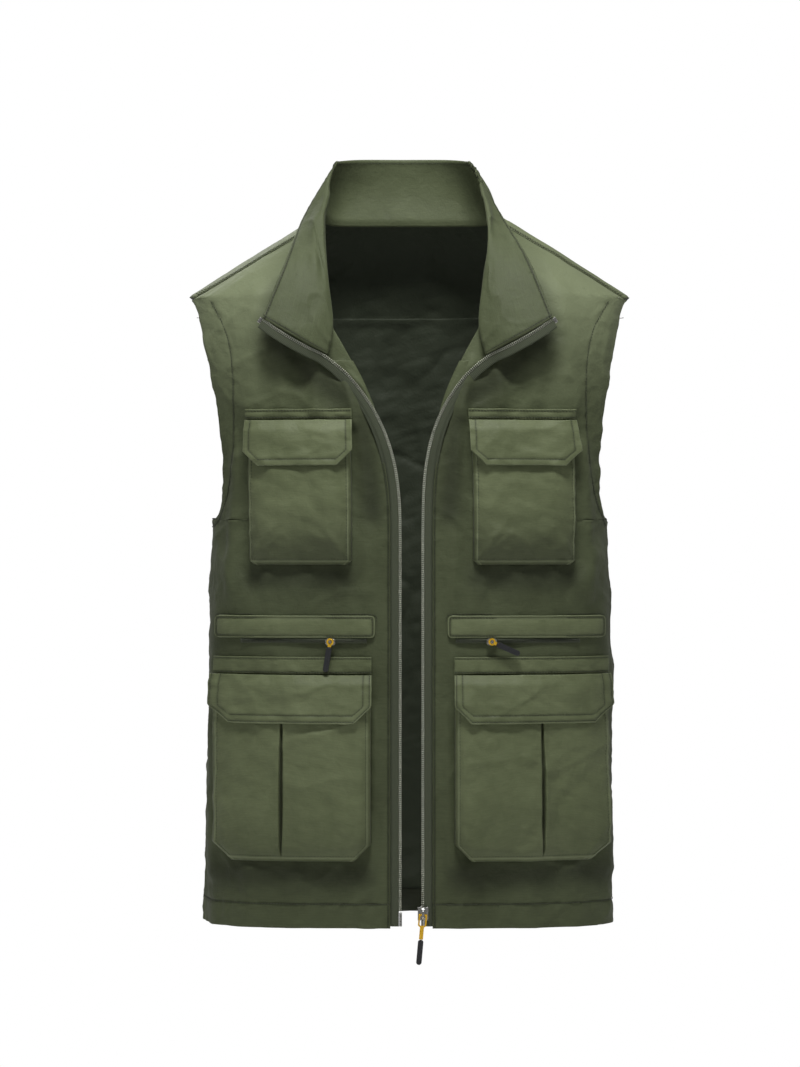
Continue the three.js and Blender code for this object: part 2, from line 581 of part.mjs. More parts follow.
// Each hand pocket's slider runs along the track, and its pull swivels on a post.
for (const [hand, side] of sides) {
  const z = welt.bottom - slideGap - handSlider.height / 2;
  const foot = onTrack(side, handSlider.at, z, handZip.lift + handZip.ply + pullGap);
  const { x, y } = handTrack(side);
  const out = new THREE.Vector3(foot.x - x, foot.y - y, 0).normalize();
  const along = new THREE.Vector3(0, 0, 1).cross(out);
  const carriage = new THREE.Group();
  carriage.applyMatrix4(new THREE.Matrix4().makeBasis(along, new THREE.Vector3(0, 0, 1), out).setPosition(foot));
  vest.add(carriage);
  const block = extruded(outline(rounded(handSlider.width, handSlider.height, 1.4)), handSlider.depth);
  const post = new THREE.CylinderGeometry(handSlider.postRadius, handSlider.postRadius,
    handSlider.postHeight + 0.5, 12).rotateX(Math.PI / 2)
    .translate(0, 0, handSlider.depth + (handSlider.postHeight - 0.5) / 2);
  hang(`hand_zip_slider_${hand}`, fromSolid(toSolid(block).add(toSolid(post))), silver, carriage);

  const swivel = new THREE.Group();
  swivel.position.z = handSlider.depth + pullGap + handLink.ply / 2;
  swivel.rotation.z = handPullAngle[hand] * degrees;
  carriage.add(swivel);
  const holeRadius = handSlider.postRadius + pullGap, ringRadius = holeRadius + handLink.wire;
  const ring = new THREE.Shape();
  const bar = handLink.barWidth / 2, meet = Math.sqrt(ringRadius * ringRadius - bar * bar);
  const start = Math.atan2(-meet, bar), finish = Math.atan2(-meet, -bar) + 2 * Math.PI;
  ring.absarc(0, 0, ringRadius, start, finish, false);
  ring.lineTo(-bar, -ringRadius - handLink.bar);
  ring.lineTo(bar, -ringRadius - handLink.bar);
  ring.closePath();
  ring.holes.push(new THREE.Path().absarc(0, 0, holeRadius, 0, 2 * Math.PI, true));
  hang(`hand_pull_link_${hand}`, extruded(ring, handLink.ply).translate(0, 0, -handLink.ply / 2), gold, swivel);
  hang(`hand_pull_tab_${hand}`, tabGeometry().translate(0, -ringRadius - handLink.bar - seamGap, 0), blackRubber, swivel);
}

export default vest;
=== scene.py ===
import math
import bpy
import numpy as np
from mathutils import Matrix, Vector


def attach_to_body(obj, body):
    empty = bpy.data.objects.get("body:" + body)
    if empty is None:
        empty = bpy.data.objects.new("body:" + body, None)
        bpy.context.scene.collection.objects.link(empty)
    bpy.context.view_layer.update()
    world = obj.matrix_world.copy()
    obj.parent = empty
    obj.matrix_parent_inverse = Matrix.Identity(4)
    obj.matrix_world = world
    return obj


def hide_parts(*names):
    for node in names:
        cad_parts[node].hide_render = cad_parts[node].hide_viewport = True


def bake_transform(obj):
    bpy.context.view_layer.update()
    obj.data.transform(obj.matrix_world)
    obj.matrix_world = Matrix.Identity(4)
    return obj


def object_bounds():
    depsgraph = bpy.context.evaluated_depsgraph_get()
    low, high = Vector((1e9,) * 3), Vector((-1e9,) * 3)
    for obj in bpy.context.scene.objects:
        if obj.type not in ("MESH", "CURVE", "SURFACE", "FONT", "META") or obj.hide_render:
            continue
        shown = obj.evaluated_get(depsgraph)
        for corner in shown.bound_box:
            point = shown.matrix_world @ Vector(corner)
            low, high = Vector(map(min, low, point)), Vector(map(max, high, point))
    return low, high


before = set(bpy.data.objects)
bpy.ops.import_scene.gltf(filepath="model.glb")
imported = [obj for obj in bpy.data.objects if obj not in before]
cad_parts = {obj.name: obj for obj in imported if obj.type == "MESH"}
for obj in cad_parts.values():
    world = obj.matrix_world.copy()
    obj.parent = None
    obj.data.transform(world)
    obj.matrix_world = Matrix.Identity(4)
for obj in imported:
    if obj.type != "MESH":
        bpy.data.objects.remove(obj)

cad_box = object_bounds()

# ---- Studio ----
# A plain pale floor well below the hanging vest, a soft light above and in front, a large one far
# behind and a faint one on each side. The world is white where the camera sees it, but it lights
# the scene at only a fifth of that, so that the folds show as shade.


def from_hex(code):
    """An sRGB hex colour as the linear values that Blender works in."""
    parts = [int(code[i:i + 2], 16) / 255 for i in (1, 3, 5)]
    return tuple(p / 12.92 if p <= 0.04045 else ((p + 0.055) / 1.055) ** 2.4 for p in parts) + (1.0,)


def node(tree, kind, settings=None, inputs=None):
    """Adds a node to a tree, with its settings and with values or links for its inputs."""
    made = tree.nodes.new(kind)
    for key, value in (settings or {}).items():
        setattr(made, key, value)
    for key, value in (inputs or {}).items():
        if isinstance(value, bpy.types.NodeSocket):
            tree.links.new(value, made.inputs[key])
        else:
            made.inputs[key].default_value = value
    return made


def new_material(name):
    """A new material with its node tree and its surface shader."""
    made = bpy.data.materials.new(name)
    made.use_nodes = True
    return made, made.node_tree, made.node_tree.nodes["Principled BSDF"]


def ranged(tree, value, low, high, start=0.0, end=1.0):
    """A value from start to end, spread from low to high."""
    return node(tree, "ShaderNodeMapRange", None, {
        "Value": value, "From Min": start, "From Max": end, "To Min": low, "To Max": high}).outputs[0]


camera_distance = 4.3  # a long lens, as for a catalogue
frame_width = 0.8  # what the frame takes in across, at the front of the vest
scale_plane_y = -0.06
aim_x, aim_z = -0.010, -0.3075
camera_data = bpy.data.cameras.new("camera")
camera_data.sensor_fit = "HORIZONTAL"
camera_data.sensor_width = 36
camera_data.lens = camera_data.sensor_width * camera_distance / frame_width
camera = bpy.data.objects.new("camera", camera_data)
camera.location = (aim_x, scale_plane_y - camera_distance, aim_z)
camera.rotation_euler = (math.radians(90), 0, 0)
bpy.context.scene.collection.objects.link(camera)
bpy.context.scene.camera = camera
bpy.context.scene.view_settings.view_transform = "Standard"

floor_z = cad_box[0][2] - 0.45
floor_mesh = bpy.data.meshes.new("studio_floor")
floor_radius, floor_sides = 2.5, 96
rim = [2 * math.pi * step / floor_sides for step in range(floor_sides)]
floor_mesh.from_pydata([(floor_radius * math.cos(turn), floor_radius * math.sin(turn), floor_z)
                        for turn in rim], [], [tuple(range(floor_sides))])
floor = bpy.data.objects.new("studio_floor", floor_mesh)
bpy.context.scene.collection.objects.link(floor)
paper, _, paper_shader = new_material("matt background paper")
paper_shader.inputs["Base Color"].default_value = from_hex("#F4F4F2")
paper_shader.inputs["Roughness"].default_value = 0.9
paper_shader.inputs["Emission Color"].default_value = from_hex("#F4F4F2")
paper_shader.inputs["Emission Strength"].default_value = 0.25  # lit from below, as a light table
floor_mesh.materials.append(paper)

world = bpy.data.worlds.new("pale studio")
bpy.context.scene.world = world
world.use_nodes = True
world.node_tree.nodes["Background"].inputs["Color"].default_value = from_hex("#FFFFFF")
seen = node(world.node_tree, "ShaderNodeLightPath").outputs["Is Camera Ray"]
strength = ranged(world.node_tree, seen, 0.2, 1.0)
world.node_tree.links.new(strength, world.node_tree.nodes["Background"].inputs["Strength"])


def add_light(name, place, target, size, power):
    data = bpy.data.lights.new(name, "AREA")
    data.shape = "RECTANGLE"
    data.size, data.size_y, data.energy = size[0], size[1], power
    lamp = bpy.data.objects.new(name, data)
    way = np.subtract(target, place)
    lamp.location = place
    tilt = math.acos(-way[2] / np.linalg.norm(way))
    lamp.rotation_euler = (tilt, 0, math.atan2(way[1], way[0]) - math.radians(90))
    bpy.context.scene.collection.objects.link(lamp)


add_light("key_above", (0.02, -0.78, 1.22), (0, -0.08, -0.28), (0.6, 0.26), 30)
add_light("fill_back", (-0.9, 2.6, 2.0), (0, 0.1, -0.5), (2.0, 1.2), 45)
add_light("fill_right", (2.4, -1.9, 0.3), (0, 0, -0.35), (0.8, 1.4), 3)
add_light("fill_left", (-2.4, -1.9, 0.3), (0, 0, -0.35), (0.8, 1.4), 5)

# ---- Back panel and yoke ----
# The back is one width of plain-woven nylon from the hem to the shoulder blades, and the yoke is a
# second piece that runs over both shoulders to the front. They are lapped and topstitched.
# The shape that the garment hangs in is worked out here, since all of the shell lies on it.
MM = 0.001
shoulder_half, underarm_half, waist_half, hem_half = 221.0, 198.5, 201.5, 205.5
neck_half, half_depth = 88.0, 100.0
neck_z, shoulder_z, underarm_z, waist_z, full_depth_z = 16.0, -70.0, -293.0, -374.0, -280.0
hem_z = -699.0
squareness = 3.0  # of the horizontal section, where 2 is an ellipse
gap_centre, neck_centre = 1.5, -7.0  # the fronts hang a little to one side and the neck to the other
armhole_turn = 25.0  # degrees that the armhole reaches round from the side
back_yoke_z = -90.0
hem_depth = 24.0


def share(value, start, end):
    return np.clip((value - start) / (end - start), 0.0, 1.0)


def ease(t):
    return (1 - np.cos(np.pi * np.clip(t, 0.0, 1.0))) / 2


def mix(a, b, t):
    return a + (b - a) * t


def signed_power(value, power):
    return np.sign(value) * np.abs(value) ** power


def half_width(z):
    slope = mix(shoulder_half, neck_half, share(z, shoulder_z, neck_z))
    chest = mix(underarm_half, shoulder_half, ease(share(z, underarm_z, shoulder_z)))
    waist = mix(waist_half, underarm_half, ease(share(z, waist_z, underarm_z)))
    skirt = mix(hem_half, waist_half, share(z, hem_z, waist_z))
    low = np.where(z > waist_z, waist, skirt)
    return np.where(z > shoulder_z, slope, np.where(z > underarm_z, chest, low))


def body_point(angle, z):
    """The undraped body in millimetres, at angles round it (0 front, 90 wearer's left) and heights."""
    s, c = np.sin(np.radians(angle)), np.cos(np.radians(angle))
    round_s, round_c = signed_power(s, 2 / squareness), signed_power(c, 2 / squareness)
    t = share(z, neck_z, full_depth_z)
    depth = half_depth * (1 - (1 - t) ** 4) ** np.where(c > 0, 0.625, 0.45)
    shift = mix(gap_centre, neck_centre, ease(share(z, -300.0, -60.0)))
    x = half_width(z) * round_s + shift * (1 - np.abs(round_s))
    return np.stack([x, -depth * round_c, z + 0 * x], axis=-1)


def unit(vectors):
    return vectors / np.maximum(np.linalg.norm(vectors, axis=-1, keepdims=True), 1e-9)


def body_normal(angle, z):
    step = 0.5
    across = body_point(angle + step, z) - body_point(angle - step, z)
    up = body_point(angle, z + step) - body_point(angle, z - step)
    return unit(np.cross(across, up))


def angle_for(x, z):
    """The angle at which the front lies x from the middle."""
    return np.degrees(np.arcsin(np.clip((np.abs(x) / half_width(z)) ** (squareness / 2), 0.0, 1.0)))


ring_angles = np.linspace(0, 360, 36001)
ring = body_point(ring_angles, np.full_like(ring_angles, -450.0))
ring_length = np.concatenate([[0], np.cumsum(np.linalg.norm(np.diff(ring, axis=0), axis=1))])


def girth(angle):
    """Millimetres round the body from its front middle."""
    return np.interp(np.mod(angle, 360), ring_angles, ring_length)


def between(start, end, t):
    """Angles from start to end, evenly spaced in millimetres of cloth."""
    length = mix(np.interp(start, ring_angles, ring_length), np.interp(end, ring_angles, ring_length), t)
    return np.interp(length, ring_length, ring_angles)


def spread(start, end, count):
    """A row of angles from start to end, evenly spaced in millimetres of cloth."""
    return between(np.full(count, start), np.full(count, end), np.linspace(0, 1, count))


def noise(x, z, cell_x, cell_z, seed):
    """Smooth noise from -1 to 1 on cells of the given size."""
    table = np.random.default_rng(seed).uniform(-1, 1, (64, 64))
    gx, gz = x / cell_x + 31.7, z / cell_z + 17.3
    ix, iz = np.floor(gx).astype(int), np.floor(gz).astype(int)
    fx, fz = gx - ix, gz - iz
    fx, fz = fx * fx * (3 - 2 * fx), fz * fz * (3 - 2 * fz)
    low = mix(table[ix % 64, iz % 64], table[(ix + 1) % 64, iz % 64], fx)
    high = mix(table[ix % 64, (iz + 1) % 64], table[(ix + 1) % 64, (iz + 1) % 64], fx)
    return mix(low, high, fz)


def near_line(x, z, line):
    """Distance in millimetres from each point to a line through the given points."""
    best = np.full(np.shape(x), 1e9)
    for (x0, z0), (x1, z1) in zip(line[:-1], line[1:]):
        dx, dz = x1 - x0, z1 - z0
        t = np.clip(((x - x0) * dx + (z - z0) * dz) / (dx * dx + dz * dz), 0.0, 1.0)
        best = np.minimum(best, np.hypot(x - x0 - t * dx, z - z0 - t * dz))
    return best


def folds(s, z, seed):
    """Soft hanging folds with a few sharper creases, as a height in millimetres."""
    warp = 14 * noise(s, z, 70, 110, seed)
    soft = 2.3 * noise(s + warp, z, 34, 190, seed + 1) + 1.3 * noise(s + 0.35 * z, z, 26, 80, seed + 2)
    crease = 1 - np.abs(noise(s + 0.6 * z + warp, z - 0.5 * s, 60, 45, seed + 3)) * 3.0
    fine = 0.45 * noise(s + warp, z, 9, 12, seed + 4) + 0.3 * noise(s, z + 0.3 * s, 22, 5, seed + 5)
    return soft + 1.0 * np.maximum(crease, 0) ** 2 + fine


# Folds that hang at one place: outward distance and height of both ends, width and height, in mm.
hanging_folds = [
    (30, -200, 33, -560, 7, 1.0), (48, -165, 40, -430, 7, 1.3), (62, -135, 52, -190, 7, 2.4),
    (88, -118, 92, -178, 8, 2.0), (120, -95, 126, -172, 10, 1.8), (150, -60, 160, -180, 12, 1.6),
    (172, -225, 178, -372, 8, 2.4), (186, -330, 158, -380, 9, 1.4), (74, -345, 66, -384, 8, 1.4),
    (104, -345, 110, -382, 9, 1.3), (142, -342, 148, -384, 8, 1.5), (34, -480, 38, -640, 5, 1.3),
    (58, -640, 46, -697, 10, 1.6), (112, -640, 118, -697, 12, 1.4), (160, -640, 166, -697, 11, 1.5),
    (198, -420, 200, -640, 9, 1.6),
]
lapel_start_z, lapel_top_z, lapel_top_x, lapel_end_z = -320.0, -133.0, 78.0, -192.0
roll_top_x, roll_top_z = 72.0, -104.0
half_gap, tape_width = 12.5, 8.0


def zip_edge_x(z):
    return half_gap + (lapel_top_x - half_gap) * share(z, lapel_start_z, lapel_top_z) ** 3.2


def roll_x(z):
    return mix(zip_edge_x(lapel_end_z), roll_top_x, share(z, lapel_end_z, roll_top_z) ** 1.3)


def panel_edge_x(z):
    """The inner edge of a front: beside the zip tape, then the roll of the lapel, then the neck."""
    beside_tape = zip_edge_x(z) + tape_width + 0.6
    low = mix(beside_tape, roll_x(z), ease(share(z, -205, -178)))
    return np.where(z > roll_top_z, mix(roll_top_x, neck_half, share(z, roll_top_z, neck_z)), low)


def drape(angle, z):
    """How far the cloth stands off the body: nothing beside the zips, most at the back."""
    turn = np.abs((angle + 180) % 360 - 180)
    s = girth(angle)
    out = np.abs(half_width(z) * np.sin(np.radians(np.minimum(turn, 90))) ** (2 / squareness))
    seed = np.where((angle % 360) < 180, 0.0, 37.0)
    placed = sum(height * np.exp(-(near_line(out, z + seed * 0.2, [(x0, z0), (x1, z1)]) / width) ** 2)
                 for x0, z0, x1, z1, width, height in hanging_folds)
    height = 1.35 * folds(s, z, 11) + np.where(turn < 90, (2.4 * placed - 1.4) * share(turn, 89, 76), 0.0)
    by_zip = np.where(turn < 90, share(out - panel_edge_x(z), 2.5, 20), 1.0)
    by_hand_zip = mix(share(np.abs(z + 406), 14, 40), 1.0, share(turn, 84, 100))
    top = mix(0.3, 1.0, share(z, 0, -130))
    return height * by_zip * by_hand_zip * top * mix(0.9, 1.5, share(turn, 80, 110))


def on_shell(angle, z, lift=0.0):
    """A point of the draped shell, or of what lies a lift above it, in millimetres."""
    return body_point(angle, z) + body_normal(angle, z) * (drape(angle, z) + lift)[..., None]


def armhole_angle(z):
    t = share(z, underarm_z, shoulder_z - 2)
    return 90 - armhole_turn * np.sin(np.pi * t) ** 0.25


def yoke_seam_angle(z):
    return mix(54.0, 76.0, share(z, neck_z, shoulder_z))


def neck_seam_z(turn):
    low = mix(7.0, neck_z - 0.5, share(turn, 54, 90))
    return np.where(turn < 90, low, mix(neck_z - 0.5, 8.0, ease(share(turn, 90, 150))))


def new_object(name, mesh):
    made = bpy.data.objects.new(name, mesh)
    bpy.context.scene.collection.objects.link(made)
    return made


def cloth(name, outer, thick, fields=None, out_hint=(0, -1, 0), edge=1.5, shaded_inside=False):
    """A closed sheet from a grid of outer points in millimetres, its edges rounded. fields holds
    values from 0 to 1 at each point, kept as attributes for the material, and the inner side of a
    sheet can be painted dark, as painted shade inside the vest."""
    rows, columns = outer.shape[:2]
    normal = unit(np.cross(np.gradient(outer, axis=1), np.gradient(outer, axis=0)))
    if np.sum(normal @ np.array(out_hint, float)) < 0:
        normal = -normal
    length_u = np.cumsum(np.linalg.norm(np.diff(outer, axis=1, prepend=outer[:, :1]), axis=-1), axis=1)
    length_v = np.cumsum(np.linalg.norm(np.diff(outer, axis=0, prepend=outer[:1]), axis=-1), axis=0)
    in_u = np.minimum(length_u, length_u[:, -1:] - length_u)
    in_v = np.minimum(length_v, length_v[-1:] - length_v)
    near = share(np.minimum(in_u, in_v), 0, edge)
    half = normal * (thick / 2 * (0.12 + 0.88 * np.sqrt(1 - (1 - near) ** 2)))[..., None]
    middle = outer - normal * thick / 2
    points = np.concatenate([(middle + half).reshape(-1, 3), (middle - half).reshape(-1, 3)])
    count = rows * columns
    grid = np.arange(count).reshape(rows, columns)
    top = np.stack([grid[:-1, :-1], grid[:-1, 1:], grid[1:, 1:], grid[1:, :-1]], axis=-1).reshape(-1, 4)
    loop = np.concatenate([grid[0, :-1], grid[:-1, -1], grid[-1, :0:-1], grid[:0:-1, 0]])
    after = np.roll(loop, -1)
    rim = np.stack([after, loop, loop + count, after + count], axis=1)
    faces = np.concatenate([top, top[:, ::-1] + count, rim])
    a, b, c, d = points[faces].transpose(1, 0, 2)
    if np.sum(a * (np.cross(b, c) + np.cross(c, d))) < 0:
        faces = faces[:, ::-1]
    mesh = bpy.data.meshes.new(name)
    mesh.from_pydata((points * MM).tolist(), [], faces.tolist())
    mesh.shade_smooth()
    index = np.empty(len(mesh.loops), dtype=np.int32)
    mesh.loops.foreach_get("vertex_index", index)
    flat = np.tile(np.stack([length_u, length_v], axis=-1).reshape(-1, 2) * MM, (2, 1))
    mesh.uv_layers.new(name="cloth").data.foreach_set("uv", flat[index].ravel())
    for field, values in (fields or {}).items():
        layer = mesh.attributes.new(field, "FLOAT", "POINT")
        layer.data.foreach_set("value", np.tile(np.ravel(values), 2).astype(np.float32))
    # The inner side is painted dark: painted shade for the inside of the vest.
    if shaded_inside:
        layer = mesh.attributes.new("painted_inside_shade", "FLOAT", "POINT")
        layer.data.foreach_set("value", np.repeat([0.0, 1.0], count).astype(np.float32))
    return new_object(name, mesh)


def blended(tree, amount, low, high):
    return node(tree, "ShaderNodeMix", {"data_type": "RGBA"}, {0: amount, 6: low, 7: high}).outputs[2]


def multiplied(tree, colour, by, amount=1.0):
    return node(tree, "ShaderNodeMix", {"data_type": "RGBA", "blend_type": "MULTIPLY"}, {
        0: amount, 6: colour, 7: by}).outputs[2]


def speckle(tree, place, scale, detail, roughness=0.5, distortion=0.0):
    return node(tree, "ShaderNodeTexNoise", None, {
        "Vector": place, "Scale": scale, "Detail": detail, "Roughness": roughness,
        "Distortion": distortion}).outputs[0]


def bumped(tree, height, strength, distance, over=None):
    """A bump of the given height, over another bump if there is one."""
    inputs = {"Height": height, "Strength": strength, "Distance": distance}
    if over is not None:
        inputs["Normal"] = over
    return node(tree, "ShaderNodeBump", None, inputs).outputs[0]


def painted(tree, field):
    """A value from 0 to 1 that cloth() keeps at each point of a sheet, or 0 where it has none."""
    return node(tree, "ShaderNodeAttribute", {"attribute_name": field}).outputs["Fac"]


wave_period = 0.314  # metres from band to band of a wave texture at scale 1


def woven_nylon(name, light, shade, rough):
    """Plain-woven nylon, calendered on its face: a soft broad gloss over a fine crinkle.
    The threads are 0.3 mm apart and are drawn at 0.9 mm, the finest that shows. Seams are darkened.
    The open pleat of a cargo bag is darkened with the seams, as painted shade. Painted shade darkens
    the cloth under the leaves, below the pockets, low on the fronts and on the lower parts of the
    bags. Painted light makes the shoulders paler, and wear makes pocket edges paler. The inner side
    of a sheet is painted dark, as painted shade inside the vest."""
    made, tree, shader = new_material(name)
    place = node(tree, "ShaderNodeTexCoord").outputs["Object"]
    flat = node(tree, "ShaderNodeUVMap", {"uv_map": "cloth"}).outputs["UV"]
    warp, weft = [node(tree, "ShaderNodeTexWave", {"bands_direction": way}, {
        "Vector": flat, "Scale": wave_period / 0.0009, "Distortion": 0.6, "Detail": 1.0})
        for way in ("X", "Y")]
    weave = node(tree, "ShaderNodeMath", {"operation": "MULTIPLY"}, {
        0: warp.outputs[1], 1: weft.outputs[1]}).outputs[0]
    crinkle = speckle(tree, place, 95.0, 4.0, 0.55, 0.6)
    slub_place = node(tree, "ShaderNodeMapping", None, {"Vector": flat, "Scale": (60.0, 900.0, 1.0)})
    slub = speckle(tree, slub_place.outputs[0], 1.0, 2.0)
    mottle = node(tree, "ShaderNodeMath", {"operation": "MULTIPLY_ADD"}, {
        0: crinkle, 1: 0.45, 2: speckle(tree, place, 11.0, 3.0)})
    tone = ranged(tree, mottle.outputs[0], 0.0, 1.0, 0.45, 1.0)
    colour = blended(tree, tone, from_hex(shade), from_hex(light))
    colour = multiplied(tree, colour, ranged(tree, slub, 0.9, 1.04, 0.3, 0.7))
    colour = multiplied(tree, colour, weave, 0.12)
    # Seams are darkened, and with them the open pleat of each cargo bag as painted shade.
    colour = multiplied(tree, colour, ranged(tree, painted(tree, "seams_and_painted_shade"), 1.0, 0.35))
    # Painted shade: cloth under the leaves, below the pockets, low on the fronts and low on the bags.
    colour = multiplied(tree, colour, ranged(tree, painted(tree, "painted_shade"), 1.0, 0.36))
    # Painted light on the shoulders, and wear along pocket edges, make the cloth paler (#7C8466).
    colour = blended(tree, painted(tree, "wear_and_painted_light"), colour, from_hex("#7C8466"))
    # The inner side is painted dark, as painted shade inside the vest.
    colour = blended(tree, painted(tree, "painted_inside_shade"), colour, from_hex("#31372A"))
    tree.links.new(colour, shader.inputs["Base Color"])
    tree.links.new(ranged(tree, crinkle, rough - 0.07, rough + 0.08), shader.inputs["Roughness"])
    shader.inputs["Sheen Weight"].default_value = 0.04
    shader.inputs["Sheen Roughness"].default_value = 0.45
    shader.inputs["Specular IOR Level"].default_value = 0.2
    shader.inputs["IOR"].default_value = 1.53
    wide = bumped(tree, crinkle, 0.4, 0.0018)
    fine = bumped(tree, speckle(tree, place, 420.0, 2.0), 0.3, 0.0006, wide)
    tree.links.new(bumped(tree, weave, 0.2, 0.0002, fine), shader.inputs["Normal"])
    return made


# One cloth in two copies: the body's copy is painted darker as shade, and the copy for the raised yoke, bags,
# bands, flaps and welts is painted lighter, as painted light.
shaded_shell_nylon = woven_nylon("olive nylon taffeta, plain woven and calendered", "#5A6246", "#4A5137", 0.64)
lit_raised_nylon = woven_nylon("olive nylon taffeta, painted lighter where raised", "#6E7656", "#5B6345", 0.58)
# The hem turnings, facings and pocket bags inside are painted dark: painted shade for the inside of the vest.
inside_shade_nylon = woven_nylon("olive nylon, painted dark as the shade inside", "#2B301F", "#22261A", 0.62)
shell_thick = 1.1  # the shell, in millimetres


def attach(piece, body):
    """Rides a body, or, for a front's blend, keeps its place baked into its mesh and rides no body."""
    if body in ("left_front_blend", "right_front_blend"):
        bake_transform(piece)
    else:
        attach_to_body(piece, body)


def finish_cloth(piece, material, body, nodes):
    """Gives a cloth piece its material and body, and hides the CAD nodes that it replaces."""
    piece.data.materials.append(material)
    attach(piece, body)
    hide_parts(*nodes)


def path_tree(name, sizes, finish, shape_item):
    """Geometry Nodes: copies of one item along a path, spaced by Pitch and given one finish.
    shape_item adds the nodes of the item and of how it turns, and gives both sockets."""
    tree = bpy.data.node_groups.new(name, "GeometryNodeTree")
    kinds = [("Path", "Geometry"), ("Pitch", "Float")] + [(size, "Float") for size in sizes]
    for label, kind in kinds + [(finish, "Material")]:
        tree.interface.new_socket(label, in_out="INPUT", socket_type="NodeSocket" + kind)
    tree.interface.new_socket("Grown", in_out="OUTPUT", socket_type="NodeSocketGeometry")
    entry = node(tree, "NodeGroupInput").outputs
    curve = node(tree, "GeometryNodeMeshToCurve", None, {0: entry["Path"]})
    spaced = node(tree, "GeometryNodeResampleCurve", {"mode": "LENGTH"}, {
        "Curve": curve.outputs[0], "Length": entry["Pitch"]})
    item, turned = shape_item(tree, entry)
    placed = node(tree, "GeometryNodeInstanceOnPoints", None, {
        "Points": spaced.outputs[0], "Instance": item, "Rotation": turned})
    real = node(tree, "GeometryNodeRealizeInstances", None, {0: placed.outputs[0]})
    finished = node(tree, "GeometryNodeSetMaterial", None, {
        "Geometry": real.outputs[0], "Material": entry[finish]})
    node(tree, "NodeGroupOutput", None, {0: finished.outputs[0]})
    return tree


def stitch(tree, entry):
    """One short round stitch, lying along the path."""
    bead = node(tree, "GeometryNodeMeshUVSphere", None, {"Segments": 6, "Rings": 4, "Radius": 1.0})
    half = node(tree, "ShaderNodeMath", {"operation": "MULTIPLY"}, {0: entry["Stitch length"], 1: 0.5})
    size = node(tree, "ShaderNodeCombineXYZ", None, {
        "X": entry["Thread radius"], "Y": entry["Thread radius"], "Z": half.outputs[0]})
    shaped = node(tree, "GeometryNodeTransform", None, {
        "Geometry": bead.outputs[0], "Scale": size.outputs[0]})
    turned = node(tree, "FunctionNodeAlignRotationToVector", {"axis": "Z"}, {
        "Vector": node(tree, "GeometryNodeInputTangent").outputs[0]})
    return shaped.outputs[0], turned.outputs[0]


topstitching = path_tree("topstitching", ("Stitch length", "Thread radius"), "Thread", stitch)


def grow_along(name, lines, tree, values, outs=None):
    """Runs a Geometry Nodes tree on paths given in millimetres and keeps the result as a mesh."""
    points = np.concatenate([np.asarray(line, float) for line in lines]) * MM
    starts = np.cumsum([0] + [len(line) for line in lines])
    edges = [(i, i + 1) for a, b in zip(starts[:-1], starts[1:]) for i in range(a, b - 1)]
    mesh = bpy.data.meshes.new(name + "_path")
    mesh.from_pydata(points.tolist(), edges, [])
    if outs is not None:
        layer = mesh.attributes.new("out", "FLOAT_VECTOR", "POINT")
        layer.data.foreach_set("vector", np.concatenate(outs).ravel().astype(np.float32))
    path = new_object(name + "_path", mesh)
    modifier = path.modifiers.new("grow", "NODES")
    modifier.node_group = tree
    for item in tree.interface.items_tree:
        if item.in_out == "INPUT" and item.name in values:
            modifier[item.identifier] = values[item.name]
    evaluated = path.evaluated_get(bpy.context.evaluated_depsgraph_get())
    made = new_object(name, bpy.data.meshes.new_from_object(evaluated))
    made.data.name = name
    made.data.shade_smooth()
    bpy.data.objects.remove(path)
    return made


def plain_finish(name, light, shade, rough, metallic=0.0, scale=600.0, bump=0.15):
    """A finish with fine mottled colour, roughness and bump."""
    made, tree, shader = new_material(name)
    grain = speckle(tree, node(tree, "ShaderNodeTexCoord").outputs["Object"], scale, 3.0)
    tree.links.new(blended(tree, grain, from_hex(shade), from_hex(light)), shader.inputs["Base Color"])
    tree.links.new(ranged(tree, grain, rough - 0.08, rough + 0.08), shader.inputs["Roughness"])
    shader.inputs["Metallic"].default_value = metallic
    tree.links.new(bumped(tree, grain, bump, 0.0002), shader.inputs["Normal"])
    return made


sewing_thread = plain_finish("olive spun polyester sewing thread", "#3B412C", "#2A2F1F", 0.7, scale=2500.0)


def sew(name, lines, body, pitch=3.0, length=2.5, radius=0.42):
    """Topstitching along lines in millimetres. The 0.3 mm thread is drawn at 0.7 to 0.85 mm."""
    made = grow_along(name, lines, topstitching, {
        "Pitch": pitch * MM, "Stitch length": length * MM, "Thread radius": radius * MM,
        "Thread": sewing_thread})
    attach(made, body)


def rows_with(start, end, step, lines=(), reach=1.6):
    """Positions from start to end, closer together beside the seams at lines and at both ends."""
    extra = [p + d for p in lines for d in (-reach, -reach / 2, 0, reach / 2, reach)]
    ends = [start + d for d in (0, 0.4, 1.0, 2.0)] + [end - d for d in (0, 0.4, 1.0, 2.0)]
    even = np.arange(start + step, end - step / 2, step)
    even = [p for p in even if min([abs(p - e) for e in extra] + [9]) > reach * 0.6]
    found = np.unique(np.round(np.concatenate([even, extra, ends]), 3))
    return found[(found >= start) & (found <= end)]


def seam_mark(distance, width=1.0):
    return np.exp(-(distance / width) ** 2)


